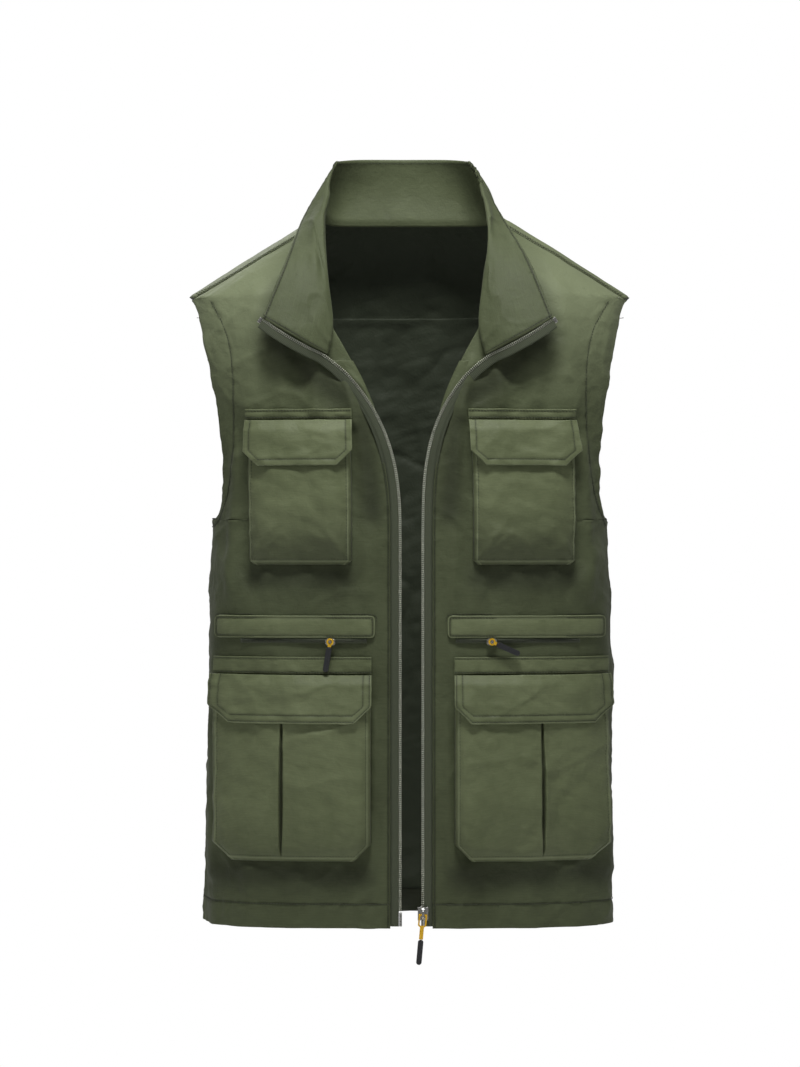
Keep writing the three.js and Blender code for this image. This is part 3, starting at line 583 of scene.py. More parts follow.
far_off = 99  # a distance that keeps a seam away from where it isn't sewn
armhole_stitch = 18  # how far in from the back's armhole edge its stitching runs
z_rows = rows_with(hem_z, back_yoke_z + 5, 3.2, [hem_z + hem_depth])
U, z = np.meshgrid(np.linspace(0, 1, 210), z_rows)
lapped = share(z, back_yoke_z - 3, back_yoke_z)
start = np.where(z < underarm_z, 90.0, 180 - armhole_angle(z))
angle = between(start, 360 - start, U)
to_edge = np.minimum(girth(angle) - girth(start), girth(360 - start) - girth(angle))
in_band = np.abs(to_edge - armhole_stitch) + np.where(z < underarm_z + 8, far_off, 0)
lines = np.minimum(np.abs(z - hem_z - hem_depth), in_band)
pucker = 0.5 * np.exp(-lines / 8) * noise(girth(angle), z, 4.5, 4.5, 71)
lift = pucker - 0.5 * seam_mark(lines) - 0.9 * lapped
back = cloth("back_panel_cloth", on_shell(angle, z, lift), shell_thick, {"seams_and_painted_shade": 0.7 * seam_mark(lines)},
             (0, 1, 0), shaded_inside=True)
finish_cloth(back, shaded_shell_nylon, "root", ["back_panel"])

U, V = np.meshgrid(np.linspace(0, 1, 300), rows_with(0, 1, 0.02, reach=0.01))
across = mix(54.4, 305.6, U)
turn = np.minimum(across, 360 - across)
top = np.where(turn < 90, np.minimum(neck_seam_z(turn), neck_z - 6), neck_seam_z(turn))
low = mix(shoulder_z, back_yoke_z + 0.5, share(turn, 84, 97))
z = mix(low, top, V)
turned = mix(yoke_seam_angle(z), 180, share(turn, 54.4, 180))
angle = np.where(across < 180, turned, 360 - turned)
mm_per_degree = 2.6  # round the shoulder
from_seam = (turned - yoke_seam_angle(z)) * mm_per_degree
lines = np.minimum(np.abs(from_seam - 1.6), np.abs((z - low) - 2.5) + np.where(turned < 112, far_off, 0))
lift = 1.0 - 0.5 * seam_mark(lines) + 0.3 * np.exp(-lines / 7) * noise(mm_per_degree * angle, z, 5, 5, 72)
yoke = cloth("yoke_cloth", on_shell(angle, z, lift), shell_thick + 0.5, {"seams_and_painted_shade": seam_mark(lines)}, (0, 0, 1),
             shaded_inside=True)
finish_cloth(yoke, lit_raised_nylon, "root", ["back_yoke"])

line_z = np.linspace(shoulder_z + 3, neck_z - 6, 50)
shoulder_lines = [on_shell(side * (yoke_seam_angle(line_z) + 0.6 + away / mm_per_degree), line_z, 1.1)
                  for side in (1, -1) for away in (1.5, 8.0)]
line_turn = spread(104.0, 256.0, 220)
shoulder_lines.append(on_shell(line_turn, np.full(220, back_yoke_z + 3.0), 1.1))
sew("yoke_topstitching", shoulder_lines, "root")
line_z = np.linspace(underarm_z + 6, back_yoke_z - 3, 90)
back_lines = []
for edge, far in ((180 - armhole_angle(line_z), 60), (180 + armhole_angle(line_z), -60)):
    width = np.abs(girth(edge + far) - girth(edge))
    back_lines.append(on_shell(between(edge, edge + far, armhole_stitch / width), line_z, 0.1))
back_lines.append(on_shell(spread(91.0, 269.0, 260), np.full(260, hem_z + hem_depth), 0.1))
sew("back_topstitching", back_lines, "root")

turning_rows = hem_z + np.array([0.5, 2, 12, hem_depth - 2, hem_depth])
U, z = np.meshgrid(np.linspace(0, 1, 160), turning_rows)
angle = between(np.full_like(U, 90.6), np.full_like(U, 269.4), U)
lift = np.full(angle.shape, -shell_thick - 0.9)
turning = cloth("back_hem_turning_cloth", on_shell(angle, z, lift), 0.8, None, (0, 1, 0))
finish_cloth(turning, inside_shade_nylon, "root", ["back_hem_turning"])

# ---- Fronts ----
# Each front is one piece of the same nylon from the shoulder seam to the hem, turned under and
# topstitched beside the zip. Above the zip's bend it rolls outwards along the lapel.
sides = (("left", 1), ("right", -1))
front_top_z = 3.0
side_edge = 90.3  # degrees: just past the side seam, where the front goes under the back


def front_angle(side, x, z):
    return side * angle_for(x, z)


def front_outer_angle(z):
    upper = yoke_seam_angle(z) - 0.4
    lower = np.where(z < underarm_z, side_edge, np.minimum(armhole_angle(z), side_edge))
    return np.where(z > shoulder_z - 2, upper, lower)


def sided(side, angle):
    return np.where(side > 0, angle, 360 - angle)


def on_front(side, x, z, lift=0.0):
    """A point of a front's draped shell x from the middle, or of what lies a lift above it."""
    return on_shell(sided(side, angle_for(x, z)), z, lift)


def smooth_curve(points, t):
    """A centripetal Catmull-Rom curve through the points, at places t from 0 to 1."""
    points = np.asarray(points, float)
    padded = np.concatenate([[2 * points[0] - points[1]], points, [2 * points[-1] - points[-2]]])
    place = np.clip(np.asarray(t, float) * (len(points) - 1), 0, len(points) - 1 - 1e-9)
    i = np.floor(place).astype(int)
    w = (place - i)[..., None]
    p0, p1, p2, p3 = (padded[i + k] for k in range(4))
    d0, d1, d2 = (np.maximum(np.linalg.norm(a - b, axis=-1, keepdims=True) ** 0.5, 1e-6)
                  for a, b in ((p0, p1), (p1, p2), (p2, p3)))
    t1 = ((p1 - p0) / d0 - (p2 - p0) / (d0 + d1) + (p2 - p1) / d1) * d1
    t2 = ((p2 - p1) / d1 - (p3 - p1) / (d1 + d2) + (p3 - p2) / d2) * d1
    return p1 + t1 * w + (3 * (p2 - p1) - 2 * t1 - t2) * w ** 2 + (2 * (p1 - p2) + t1 + t2) * w ** 3


armhole_line = smooth_curve([(199, -302), (192, -289), (184, -266), (178.5, -238), (176.5, -190),
                             (177.5, -135), (186, -100), (199, -76)], np.linspace(0, 1, 60))
for hand, side in sides:
    below_armhole = underarm_z + np.array([0.05, 0.15, 0.35, 0.7, 1.2, 1.9])
    z_rows = np.union1d(rows_with(hem_z, front_top_z, 2.7, [hem_z + hem_depth]), below_armhole)
    rows = z_rows[:, None]
    inner, outer_edge = angle_for(panel_edge_x(rows), rows), front_outer_angle(rows)
    width = girth(outer_edge) - girth(inner)
    from_zip = np.array([0, 0.5, 1.1, 1.8, 2.5, 3.4, 4.8])
    from_side = np.array([0, 0.5, 1.2, 2.6, 5.0])
    middle = from_zip[-1] + np.linspace(0, 1, 92)[1:-1] * (width - from_zip[-1] - from_side[-1])
    across = np.concatenate([from_zip + 0 * rows, middle, width - from_side[::-1]], axis=1)
    angle = between(inner, outer_edge, across / width)
    z = rows + 0 * across
    x = half_width(z) * np.sin(np.radians(angle)) ** (2 / squareness)
    beside_zip = np.abs(across - 1.8) + np.where(z > -196, far_off, 0)
    by_armhole = near_line(x, z, armhole_line)
    near_seam = np.minimum(np.minimum(np.abs(z - hem_z - hem_depth), beside_zip), by_armhole)
    band = share(width - across, 30, 4) * share(z, -285, -262) * share(z, -75, -95)
    pucker = 0.8 * np.exp(-near_seam / 7) * noise(x, z, 4.5, 4.5, 81) + 0.6 * band * noise(x, z, 30, 6.5, 82)
    dark = np.maximum(0.75 * seam_mark(near_seam), 0.8 * seam_mark(width - across, 1.5) * (z > shoulder_z))
    tuck = 1.0 * share(width - across, 3.5, 1.0) * (z < underarm_z)
    # Painted shade: the front is painted darker lower down, below the pockets, under the collar leaves and
    # beside the zip's bend.
    below_bags = sum(share(np.abs(x - middle_x), half + 14, half - 4) * np.exp(-((z - low) / 16) ** 2)
                     for middle_x, half, low in ((112, 51, -350), (120, 78, -646)))
    under_leaf = share(near_line(x, z, [(118, -70), (138, -112), (96, -146), (66, -170)]), 26, 4)
    beside_bend = np.exp(-(near_line(x, z, [(46, -196), (42, -235), (38, -285)]) / 13) ** 2)
    painted_shade = np.clip(0.25 * share(z, -150, -330) + 0.62 * below_bags + 0.85 * under_leaf
                        + 0.7 * beside_bend, 0, 1)
    # Painted light: the shoulders are painted paler, except where the leaves shade them.
    wear_and_painted_light = 0.6 * share(z, -190, -80) * share(x, 96, 150) * (1 - under_leaf)
    lift = pucker - tuck - 0.5 * seam_mark(near_seam)
    front = cloth(f"front_cloth_{hand}", on_shell(sided(side, angle), z, lift),
                  shell_thick, {"seams_and_painted_shade": dark, "painted_shade": painted_shade, "wear_and_painted_light": wear_and_painted_light}, shaded_inside=True)
    finish_cloth(front, shaded_shell_nylon, f"{hand}_front_blend",
                 [f"front_upper_{hand}", f"front_panel_{hand}"])

    line_z = np.linspace(hem_z + 2, -198, 170)
    edge_line = angle_for(panel_edge_x(line_z) + 1.8, line_z)
    hem_line = spread(2.2, 89.0, 110)
    sew(f"front_topstitching_{hand}", [
        on_shell(sided(side, edge_line), line_z, 0.1),
        on_shell(sided(side, np.maximum(hem_line, angle_for(panel_edge_x(hem_z) + 2, hem_z))),
                 np.full(110, hem_z + hem_depth), 0.1),
        on_front(side, *armhole_line.T, 0.1)], f"{hand}_front_blend")

    rows = turning_rows[:, None]
    angle = between(angle_for(22.0, rows), np.full_like(rows, 88.0), np.linspace(0, 1, 90)[None])
    lift = np.full(angle.shape, -shell_thick - 0.9)
    turning = cloth(f"hem_turning_cloth_{hand}", on_shell(sided(side, angle), rows + 0 * angle, lift), 0.8)
    finish_cloth(turning, inside_shade_nylon, f"{hand}_front",
                 [f"hem_turning_{hand}"])

    # Facings: strips of nylon sewn inside the armhole, before and behind the side seam, painted
    #     dark as shade inside the vest.
    for place, body, top, nodes in (("front", f"{hand}_front", -177.0, [f"armhole_facing_front_{hand}"]),
                                    ("back", "root", -92.0, [f"armhole_facing_back_{hand}"])):
        rows = np.linspace(underarm_z + 6, top, 70)[:, None]
        edge = armhole_angle(rows) - 0.6
        angle = edge - np.linspace(9, 0, 9)[None]
        angle = angle if place == "front" else 180 - angle
        lift = np.full(angle.shape, -shell_thick - 1.3)
        facing = cloth(f"armhole_facing_{place}_cloth_{hand}",
                       on_shell(sided(side, angle), rows + 0 * angle, lift), 0.8, None, (side, 0, 0))
        finish_cloth(facing, inside_shade_nylon, body,
                     nodes)

# ---- Collar ----
# A stand of two plies of nylon round the back of the neck. Its two ends turn outwards as leaves
# that lie over the chest, edge-stitched, with the top of the zip along their lower ends.
collar_half, collar_depth, collar_top_z, collar_back_z = 67.0, 38.0, 71.0, 75.0
collar_ply = 2.2
tip_x, tip_z, tip_lift = 140.0, -101.0, 26.0


def neck_seam(angle):
    turn = np.minimum(np.mod(angle, 360), 360 - np.mod(angle, 360))
    return body_point(angle, neck_seam_z(turn)) + np.array([0, 0, 0.6])


def collar_top(angle):
    s, c = np.sin(np.radians(angle)), np.cos(np.radians(angle))
    return np.stack([collar_half * s + neck_centre, 4 - collar_depth * c,
                     mix(collar_top_z, collar_back_z, ease(np.abs(c)))], axis=-1)


def level_out(angle):
    return np.stack([np.sin(np.radians(angle)), -np.cos(np.radians(angle)), 0 * angle], axis=-1)


def off_body(side, x, z, out):
    angle = front_angle(side, np.float64(x), np.float64(z))
    return body_point(angle, np.float64(z)) + body_normal(angle, np.float64(z)) * out


U, V = np.meshgrid(np.linspace(0, 1, 150), rows_with(-0.045, 1, 0.03, reach=0.01))
angle = between(np.full_like(U, 87.0), np.full_like(U, 273.0), U)
wall = mix(neck_seam(angle), collar_top(angle), V[..., None])
swell = (5 * np.sin(np.pi * np.maximum(V, 0)) + 1.6 * share(V, 0.05, 0)
         + 0.8 * noise(60 * U, 12 * V, 7, 9, 21) * np.sin(np.pi * V))
stitch_share = 0.94  # how far up the stand its stitching runs
top_line = np.abs(V - stitch_share) * 65
stand = cloth("collar_stand_cloth", wall + level_out(angle) * (swell - 0.3 * seam_mark(top_line))[..., None],
              collar_ply, {"seams_and_painted_shade": 0.6 * seam_mark(top_line)}, (0, 1, 0))
finish_cloth(stand, shaded_shell_nylon, "root", ["collar_stand"])
line_angle = spread(89.0, 271.0, 150)
line_wall = mix(neck_seam(line_angle), collar_top(line_angle), stitch_share)
line_out = level_out(line_angle)
sew("collar_stand_topstitching", [line_wall + line_out * 1.1, line_wall - line_out * 1.4], "root")

leaf_reach = 0.985  # how far along its curves a leaf goes
leaf_length, leaf_height = 300, 78
edge_stitch, end_stitch = 2.8, 4.5  # how far in from a leaf's edges they run
leaf_ends = {}  # points along each leaf's lower end, where the zip is sewn
for hand, side in sides:
    neck_points = [neck_seam(np.float64(side * 90)), off_body(side, panel_edge_x(np.float64(-20)), -20, 4),
                   off_body(side, panel_edge_x(np.float64(-62)), -62, 5),
                   off_body(side, roll_top_x + 1, roll_top_z, 6), off_body(side, lapel_top_x, lapel_top_z, 8)]
    under_points = [neck_points[0], off_body(side, panel_edge_x(np.float64(-20)) + 1.5, -20, -0.5),
                    off_body(side, panel_edge_x(np.float64(-62)) + 1.5, -62, -0.5),
                    off_body(side, roll_top_x + 2.5, roll_top_z, -0.5),
                    off_body(side, lapel_top_x + 2, lapel_top_z, -0.5)]
    top_points = [collar_top(np.float64(side * 90)), np.array([side * 99 + neck_centre, -15.0, 15.0]),
                  off_body(side, 120, -45, 14), off_body(side, tip_x, tip_z, tip_lift)]

    def leaf_point(u, v):
        at_stand = share(u, 0.1, 0.0)
        roll = np.stack([mix(-side * mix(2, 8, u) * share(u, 1.0, 0.7), side * 4.4, at_stand),
                         -mix(3, 8, u) * (1 - at_stand),
                         mix(10, 3, u) * np.sin(np.pi * u) - 1.5 * share(u, 0.8, 1.0)], axis=-1)
        flat = mix(smooth_curve(neck_points, u), smooth_curve(top_points, u), v[..., None])
        return flat + roll * np.sin(np.pi * v)[..., None]

    u_places = np.concatenate([[0, 0.004, 0.01], np.linspace(0.02, 0.98, 96), [0.985, 0.991, 0.996, 1]])
    v_places = np.concatenate([np.linspace(0.04, 0.93, 58), [0.945, 0.955, 0.965, 0.975, 0.985, 0.993, 1]])
    U, V = np.meshgrid(mix(0.0, leaf_reach, u_places), v_places)
    leaf = leaf_point(U, V)
    normal = side * unit(np.cross(np.gradient(leaf, axis=1), np.gradient(leaf, axis=0)))
    edge_line = np.abs((1 - V) * leaf_height - edge_stitch)
    end_line = np.abs((leaf_reach - U) * leaf_length - end_stitch)
    near_seam = np.minimum(edge_line, end_line)
    fade = np.sin(np.pi * np.clip(V, 0, 1)) * np.sin(np.pi * np.clip(U * 0.9 + 0.1, 0, 1)) ** 0.5
    seed = 130 if side > 0 else 140
    diagonal = noise(300 * U + 70 * V, 90 * V - 60 * U, 46, 22, seed)
    creases = 1 - 3.2 * np.abs(noise(260 * U - 60 * V, 80 * V + 110 * U, 55, 40, seed + 1))
    corner_fold = 1.8 * np.exp(-((300 * (U - 0.86) + 45 * (V - 0.2)) / 9) ** 2) * share(V, 0.6, 0.05)
    height = (2.0 * diagonal + 1.1 * np.maximum(creases, 0) ** 2) * fade + corner_fold
    height = height - 0.4 * seam_mark(near_seam) + 0.4 * np.exp(-near_seam / 6) * noise(
        300 * U, 80 * V, 4.5, 4.5, seed + 2)
    surface = leaf + normal * (height + collar_ply / 2)[..., None]
    rolled = []  # the leaf's inner edge rolls back down to the neck of the front
    for step in np.linspace(0, 1, 6)[:-1]:
        start = smooth_curve(under_points, U[0])
        bulge = np.array([-side * 2.2, -1.0, 0]) * math.sin(math.pi * step)
        rolled.append(mix(start, surface[0], step) + bulge)
    surface = np.concatenate([np.array(rolled), surface])
    dark = np.concatenate([np.zeros((5, U.shape[1])), seam_mark(near_seam, 0.9)])
    # The whole leaf is painted a little darker, as painted shade.
    piece = cloth(f"collar_leaf_cloth_{hand}", surface, collar_ply, {
        "seams_and_painted_shade": dark, "painted_shade": 0.1 + 0 * dark}, (0, -1, 0), edge=1.8)
    finish_cloth(piece, shaded_shell_nylon, f"{hand}_front_blend",
                 [f"collar_leaf_{hand}"])
    line_u = np.linspace(0.02, 0.975, 110)
    outer_line = leaf_point(line_u, np.full(110, 1 - edge_stitch / leaf_height))
    end_v = np.linspace(0.1, 0.96, 40)
    lower_line = leaf_point(np.full(40, leaf_reach - end_stitch / leaf_length), end_v)
    sew(f"collar_leaf_topstitching_{hand}",
        [outer_line + np.array([0, -1.2, 0.2]), lower_line + np.array([0, -2.3, 0.6])],
        f"{hand}_front_blend")
    leaf_ends[hand] = leaf_point(np.full(5, leaf_reach), np.array([0.06, 0.3, 0.55, 0.8, 0.985]))

# ---- Lapel facings ----
# The inside of each front, faced with the shell's nylon, shows where the front rolls out.
for hand, side in sides:
    rows = rows_with(-190, lapel_top_z - 3, 2.2)[:, None]
    U = rows_with(0, 1, 0.045, reach=0.01)[None]
    x = mix(roll_x(rows) - 1.5, np.maximum(zip_edge_x(rows) - 1.0, roll_x(rows) + 0.5), U)
    angle = front_angle(side, x, rows)
    z = rows + 0 * x
    lift = -0.6 + 3.0 * np.sin(np.pi / 2 * np.minimum(1, 2.2 * U)) + 0.9 * noise(x, z - x, 15, 6, 31 + side)
    lift = lift * share(U, -0.05, 0.15)
    facing = cloth(f"lapel_facing_cloth_{hand}",
                   body_point(angle, z) + body_normal(angle, z) * lift[..., None], 1.0, {"seams_and_painted_shade": 0 * lift})
    finish_cloth(facing, shaded_shell_nylon, f"{hand}_front_blend",
                 [f"lapel_facing_{hand}"])

# ---- Front zip ----
# A moulded open-ended zip from the hem to the tip of the turned-out collar: a woven polyester tape
# sewn along each edge, a row of teeth on it, a silver stop at the top and a box and pin below.


def woven_tape(name, light, shade):
    """Herringbone zip tape. Its ribs are 0.5 mm apart and are drawn at 0.8 mm, the finest that shows."""
    made, tree, shader = new_material(name)
    ribs = node(tree, "ShaderNodeTexWave", {"bands_direction": "DIAGONAL"}, {
        "Vector": node(tree, "ShaderNodeUVMap", {"uv_map": "cloth"}).outputs["UV"],
        "Scale": wave_period / 0.0008, "Distortion": 0.8, "Detail": 1.0}).outputs[1]
    fuzz = speckle(tree, node(tree, "ShaderNodeTexCoord").outputs["Object"], 900.0, 2.0)
    tone = node(tree, "ShaderNodeMath", {"operation": "MULTIPLY"}, {0: ribs, 1: fuzz}).outputs[0]
    tree.links.new(blended(tree, tone, from_hex(shade), from_hex(light)), shader.inputs["Base Color"])
    tree.links.new(ranged(tree, fuzz, 0.75, 0.95), shader.inputs["Roughness"])
    tree.links.new(bumped(tree, ribs, 0.3, 0.0002), shader.inputs["Normal"])
    return made


def tooth(tree, entry):
    """One zip tooth: a shank with a wider head and a foot on the tape, facing out."""
    joined = node(tree, "GeometryNodeJoinGeometry")
    for reach, centre, high, deep in ((0.72, 0.36, 0.8, 0.8), (0.4, 0.78, 1.0, 1.0), (0.2, 0.06, 1.25, 0.6)):
        parts = []
        for label, factor in (("Tooth depth", deep), ("Tooth reach", reach), ("Tooth height", high),
                              ("Tooth reach", centre)):
            parts.append(node(tree, "ShaderNodeMath", {"operation": "MULTIPLY"}, {
                0: entry[label], 1: factor}).outputs[0])
        size = node(tree, "ShaderNodeCombineXYZ", None, {"X": parts[0], "Y": parts[1], "Z": parts[2]})
        shift = node(tree, "ShaderNodeCombineXYZ", None, {"Y": parts[3]})
        block = node(tree, "GeometryNodeMeshCube", None, {"Size": size.outputs[0]})
        moved = node(tree, "GeometryNodeTransform", None, {
            "Geometry": block.outputs[0], "Translation": shift.outputs[0]})
        tree.links.new(moved.outputs[0], joined.inputs[0])
    out = node(tree, "GeometryNodeInputNamedAttribute", {"data_type": "FLOAT_VECTOR"}, {"Name": "out"})
    turned = node(tree, "FunctionNodeAxesToRotation", {"primary_axis": "Z", "secondary_axis": "X"}, {
        0: node(tree, "GeometryNodeInputTangent").outputs[0], 1: out.outputs[0]})
    return joined.outputs[0], turned.outputs[0]


zip_teeth = path_tree("zip_teeth", ("Tooth height", "Tooth reach", "Tooth depth"), "Tooth finish", tooth)
tape_polyester = woven_tape("olive woven polyester zip tape", "#555B46", "#343A2A")
tooth_metal = plain_finish("antique nickel zip teeth, moulded", "#B9BBAC", "#7A7D6E", 0.36, 0.6)
# The hand zips' coil is dark olive nylon, and its colour is darkened further as painted shade under the welt.
coil_nylon = plain_finish("dark olive nylon zip coil", "#34392A", "#262A1D", 0.45)
silver_nickel = plain_finish("nickel-plated zinc, die cast and polished", "#BFBFBA", "#A5A5A1", 0.27, 1.0)
gold_brass = plain_finish("gold-coloured plated zinc, polished", "#FFD040", "#E6B02A", 0.34, 0.6)
black_rubber = plain_finish("black moulded soft rubber", "#26282A", "#17181A", 0.48, 0.0, 900.0, 0.25)
zip_bottom_z = hem_z + 2
retainer_height, pin_height = 6.0, 14.0


def zip_line(side, z):
    """The tape's tooth edge beside a front, and how far it stands off the body."""
    out = mix(-1.3, 2.8, ease(share(z, -265, -205)))
    angle = front_angle(side, zip_edge_x(z), z)
    normal = body_normal(angle, z)
    return body_point(angle, z) + normal * out[..., None], normal


for hand, side in sides:
    z = np.linspace(zip_bottom_z, -152, 300)
    low, low_out = zip_line(side, z)
    leaf_end = leaf_ends[hand]
    bend = [low[-12], low[-1]] + [leaf_end[i] + np.array([side * dx, 1.4, dz]) for i, dx, dz in (
        (0, 1.0, -3.6), (1, 1.6, -3.8), (2, 1.8, -3.8), (3, 1.6, -3.2), (4, 0.6, -2.2))]
    high = smooth_curve(bend, np.linspace(1 / 6, 1, 120))[1:]
    path = np.concatenate([low, high])
    upper_out = unit(np.array([side * 0.25, -1, 0.1]))
    turn_out = ease(share(np.arange(len(path)), len(low) - 60, len(low) + 25))[:, None]
    along = unit(np.gradient(path, axis=0))
    outward = unit(mix(np.concatenate([low_out, np.tile(low_out[-1], (len(high), 1))]), upper_out, turn_out))
    outward = unit(outward - along * np.sum(outward * along, axis=1, keepdims=True))
    inward = np.cross(along, outward) * side  # towards the cloth, away from the teeth
    if np.sum(inward[:100, 0]) * side < 0:
        inward = -inward
    across = np.array([0, 0.5, 1.2, 2.6, 4.0, 5.5, 6.6, 7.6, 8.6, 9.8, 11.0])[:, None, None]
    narrowed = across * mix(1, 0.72, turn_out)[None]
    under = -1.5 * share(across, 6.4, 8.4) * (1 - turn_out)[None]  # it goes under the front's edge
    tape_out = path[None] + inward[None] * narrowed + outward[None] * (0.5 + under)
    tape = cloth(f"zip_tape_cloth_{hand}", tape_out, 0.9)
    finish_cloth(tape, tape_polyester, f"{hand}_front_blend",
                 [f"zip_tape_lower_{hand}", f"zip_tape_upper_{hand}"])
    foot = retainer_height if side > 0 else pin_height
    kept = path[:, 2] > zip_bottom_z + foot + 0.6
    row, row_out = path[kept], outward[kept]
    flip = np.sum(np.cross(along[kept], row_out)[:100, 0]) * side > 0
    if flip:  # the path runs so that the teeth reach away from the tape
        row, row_out = row[::-1], row_out[::-1]
    teeth = grow_along(f"zip_teeth_row_{hand}", [row], zip_teeth, {
        "Pitch": 1.95 * MM, "Tooth height": 1.15 * MM, "Tooth reach": 2.7 * MM, "Tooth depth": 2.2 * MM,
        "Tooth finish": tooth_metal}, [row_out])
    attach(teeth, f"{hand}_front_blend")
    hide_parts(f"zip_teeth_lower_{hand}", f"zip_teeth_upper_{hand}")


def smooth_metal(piece, bevel, finish):
    """A hard CAD part keeps its shape: its facets are joined, its edges rounded, its finish given."""
    piece.data.materials.clear()
    piece.data.materials.append(finish)
    weld = piece.modifiers.new("weld", "WELD")
    weld.merge_threshold = 0.00002
    rounding = piece.modifiers.new("rounding", "BEVEL")
    rounding.width, rounding.segments = bevel * MM, 3
    rounding.limit_method, rounding.angle_limit = "ANGLE", math.radians(25)


for name, bevel in (("zip_top_stop_left", 0.5), ("zip_top_stop_right", 0.5), ("zip_retaining_box", 0.5),
                    ("zip_insertion_pin", 0.5), ("main_zip_slider", 0.35), ("hand_zip_slider_left", 0.35),
                    ("hand_zip_slider_right", 0.35)):
    smooth_metal(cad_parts[name], bevel, silver_nickel)
for name in ("main_pull_link", "hand_pull_link_left", "hand_pull_link_right"):
    smooth_metal(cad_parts[name], 0.4, gold_brass)
for name in ("main_pull_tab", "hand_pull_tab_left", "hand_pull_tab_right"):
    smooth_metal(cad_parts[name], 0.9, black_rubber)

# ---- Bellows pockets ----
# Two chest pockets and two larger cargo pockets: a bag of the shell's nylon that stands out from the
# front on plain walls, edge-stitched, under a band and a double flap sewn above it. A groove down
# each cargo bag stands for its pleat.
chest = dict(name="chest", centre=110.5, width=102.0, band_width=105.0, band_top=-184.0, band_height=10.0,
             flap_height=45.5, flap_corner=15.0, mouth_drop=10.0, bottom=-339.0, corner=5.0, bulge=17.0,
             mouth_bulge=8.0, outer_share=0.8, under=40.0, lines=(6.0,), slit=None,
             bag_flat=(0.125, 0.150), flap_flat=(0.105, 0.056), band_flat=(0.105, 0.012))
cargo = dict(name="cargo", centre=118.5, width=155.0, band_width=155.0, band_top=-430.0, band_height=17.0,
             flap_height=48.5, flap_corner=17.0, mouth_drop=10.0, bottom=-633.0, corner=17.0, bulge=18.0,
             mouth_bulge=9.0, outer_share=0.3, under=16.0, lines=(1.8, 8.0), slit=9.5,
             bag_flat=(0.20, 0.20), flap_flat=(0.155, 0.056), band_flat=(0.155, 0.018))
lay_gap, bag_ply, flap_ply, flap_lift = 0.6, 1.8, 2.0, 2.4
gusset = 4.0  # how far in from its outline a bag's front edge stands


def mouth_z(pocket):
    return pocket["band_top"] - pocket["band_height"] - pocket["mouth_drop"]


def bag_rise(pocket, z, u):
    t = share(z, mouth_z(pocket), pocket["bottom"])
    full = mix(pocket["mouth_bulge"], pocket["bulge"], np.sin(np.minimum(1, t * 1.6) * np.pi / 2))
    return full * mix(1, pocket["outer_share"], ease(u))


def middle_x_of(pocket, side):
    return pocket["centre"] + side * gap_centre


def corner_cut(from_end, corner):
    return corner * np.maximum(0, 1 - from_end / corner)


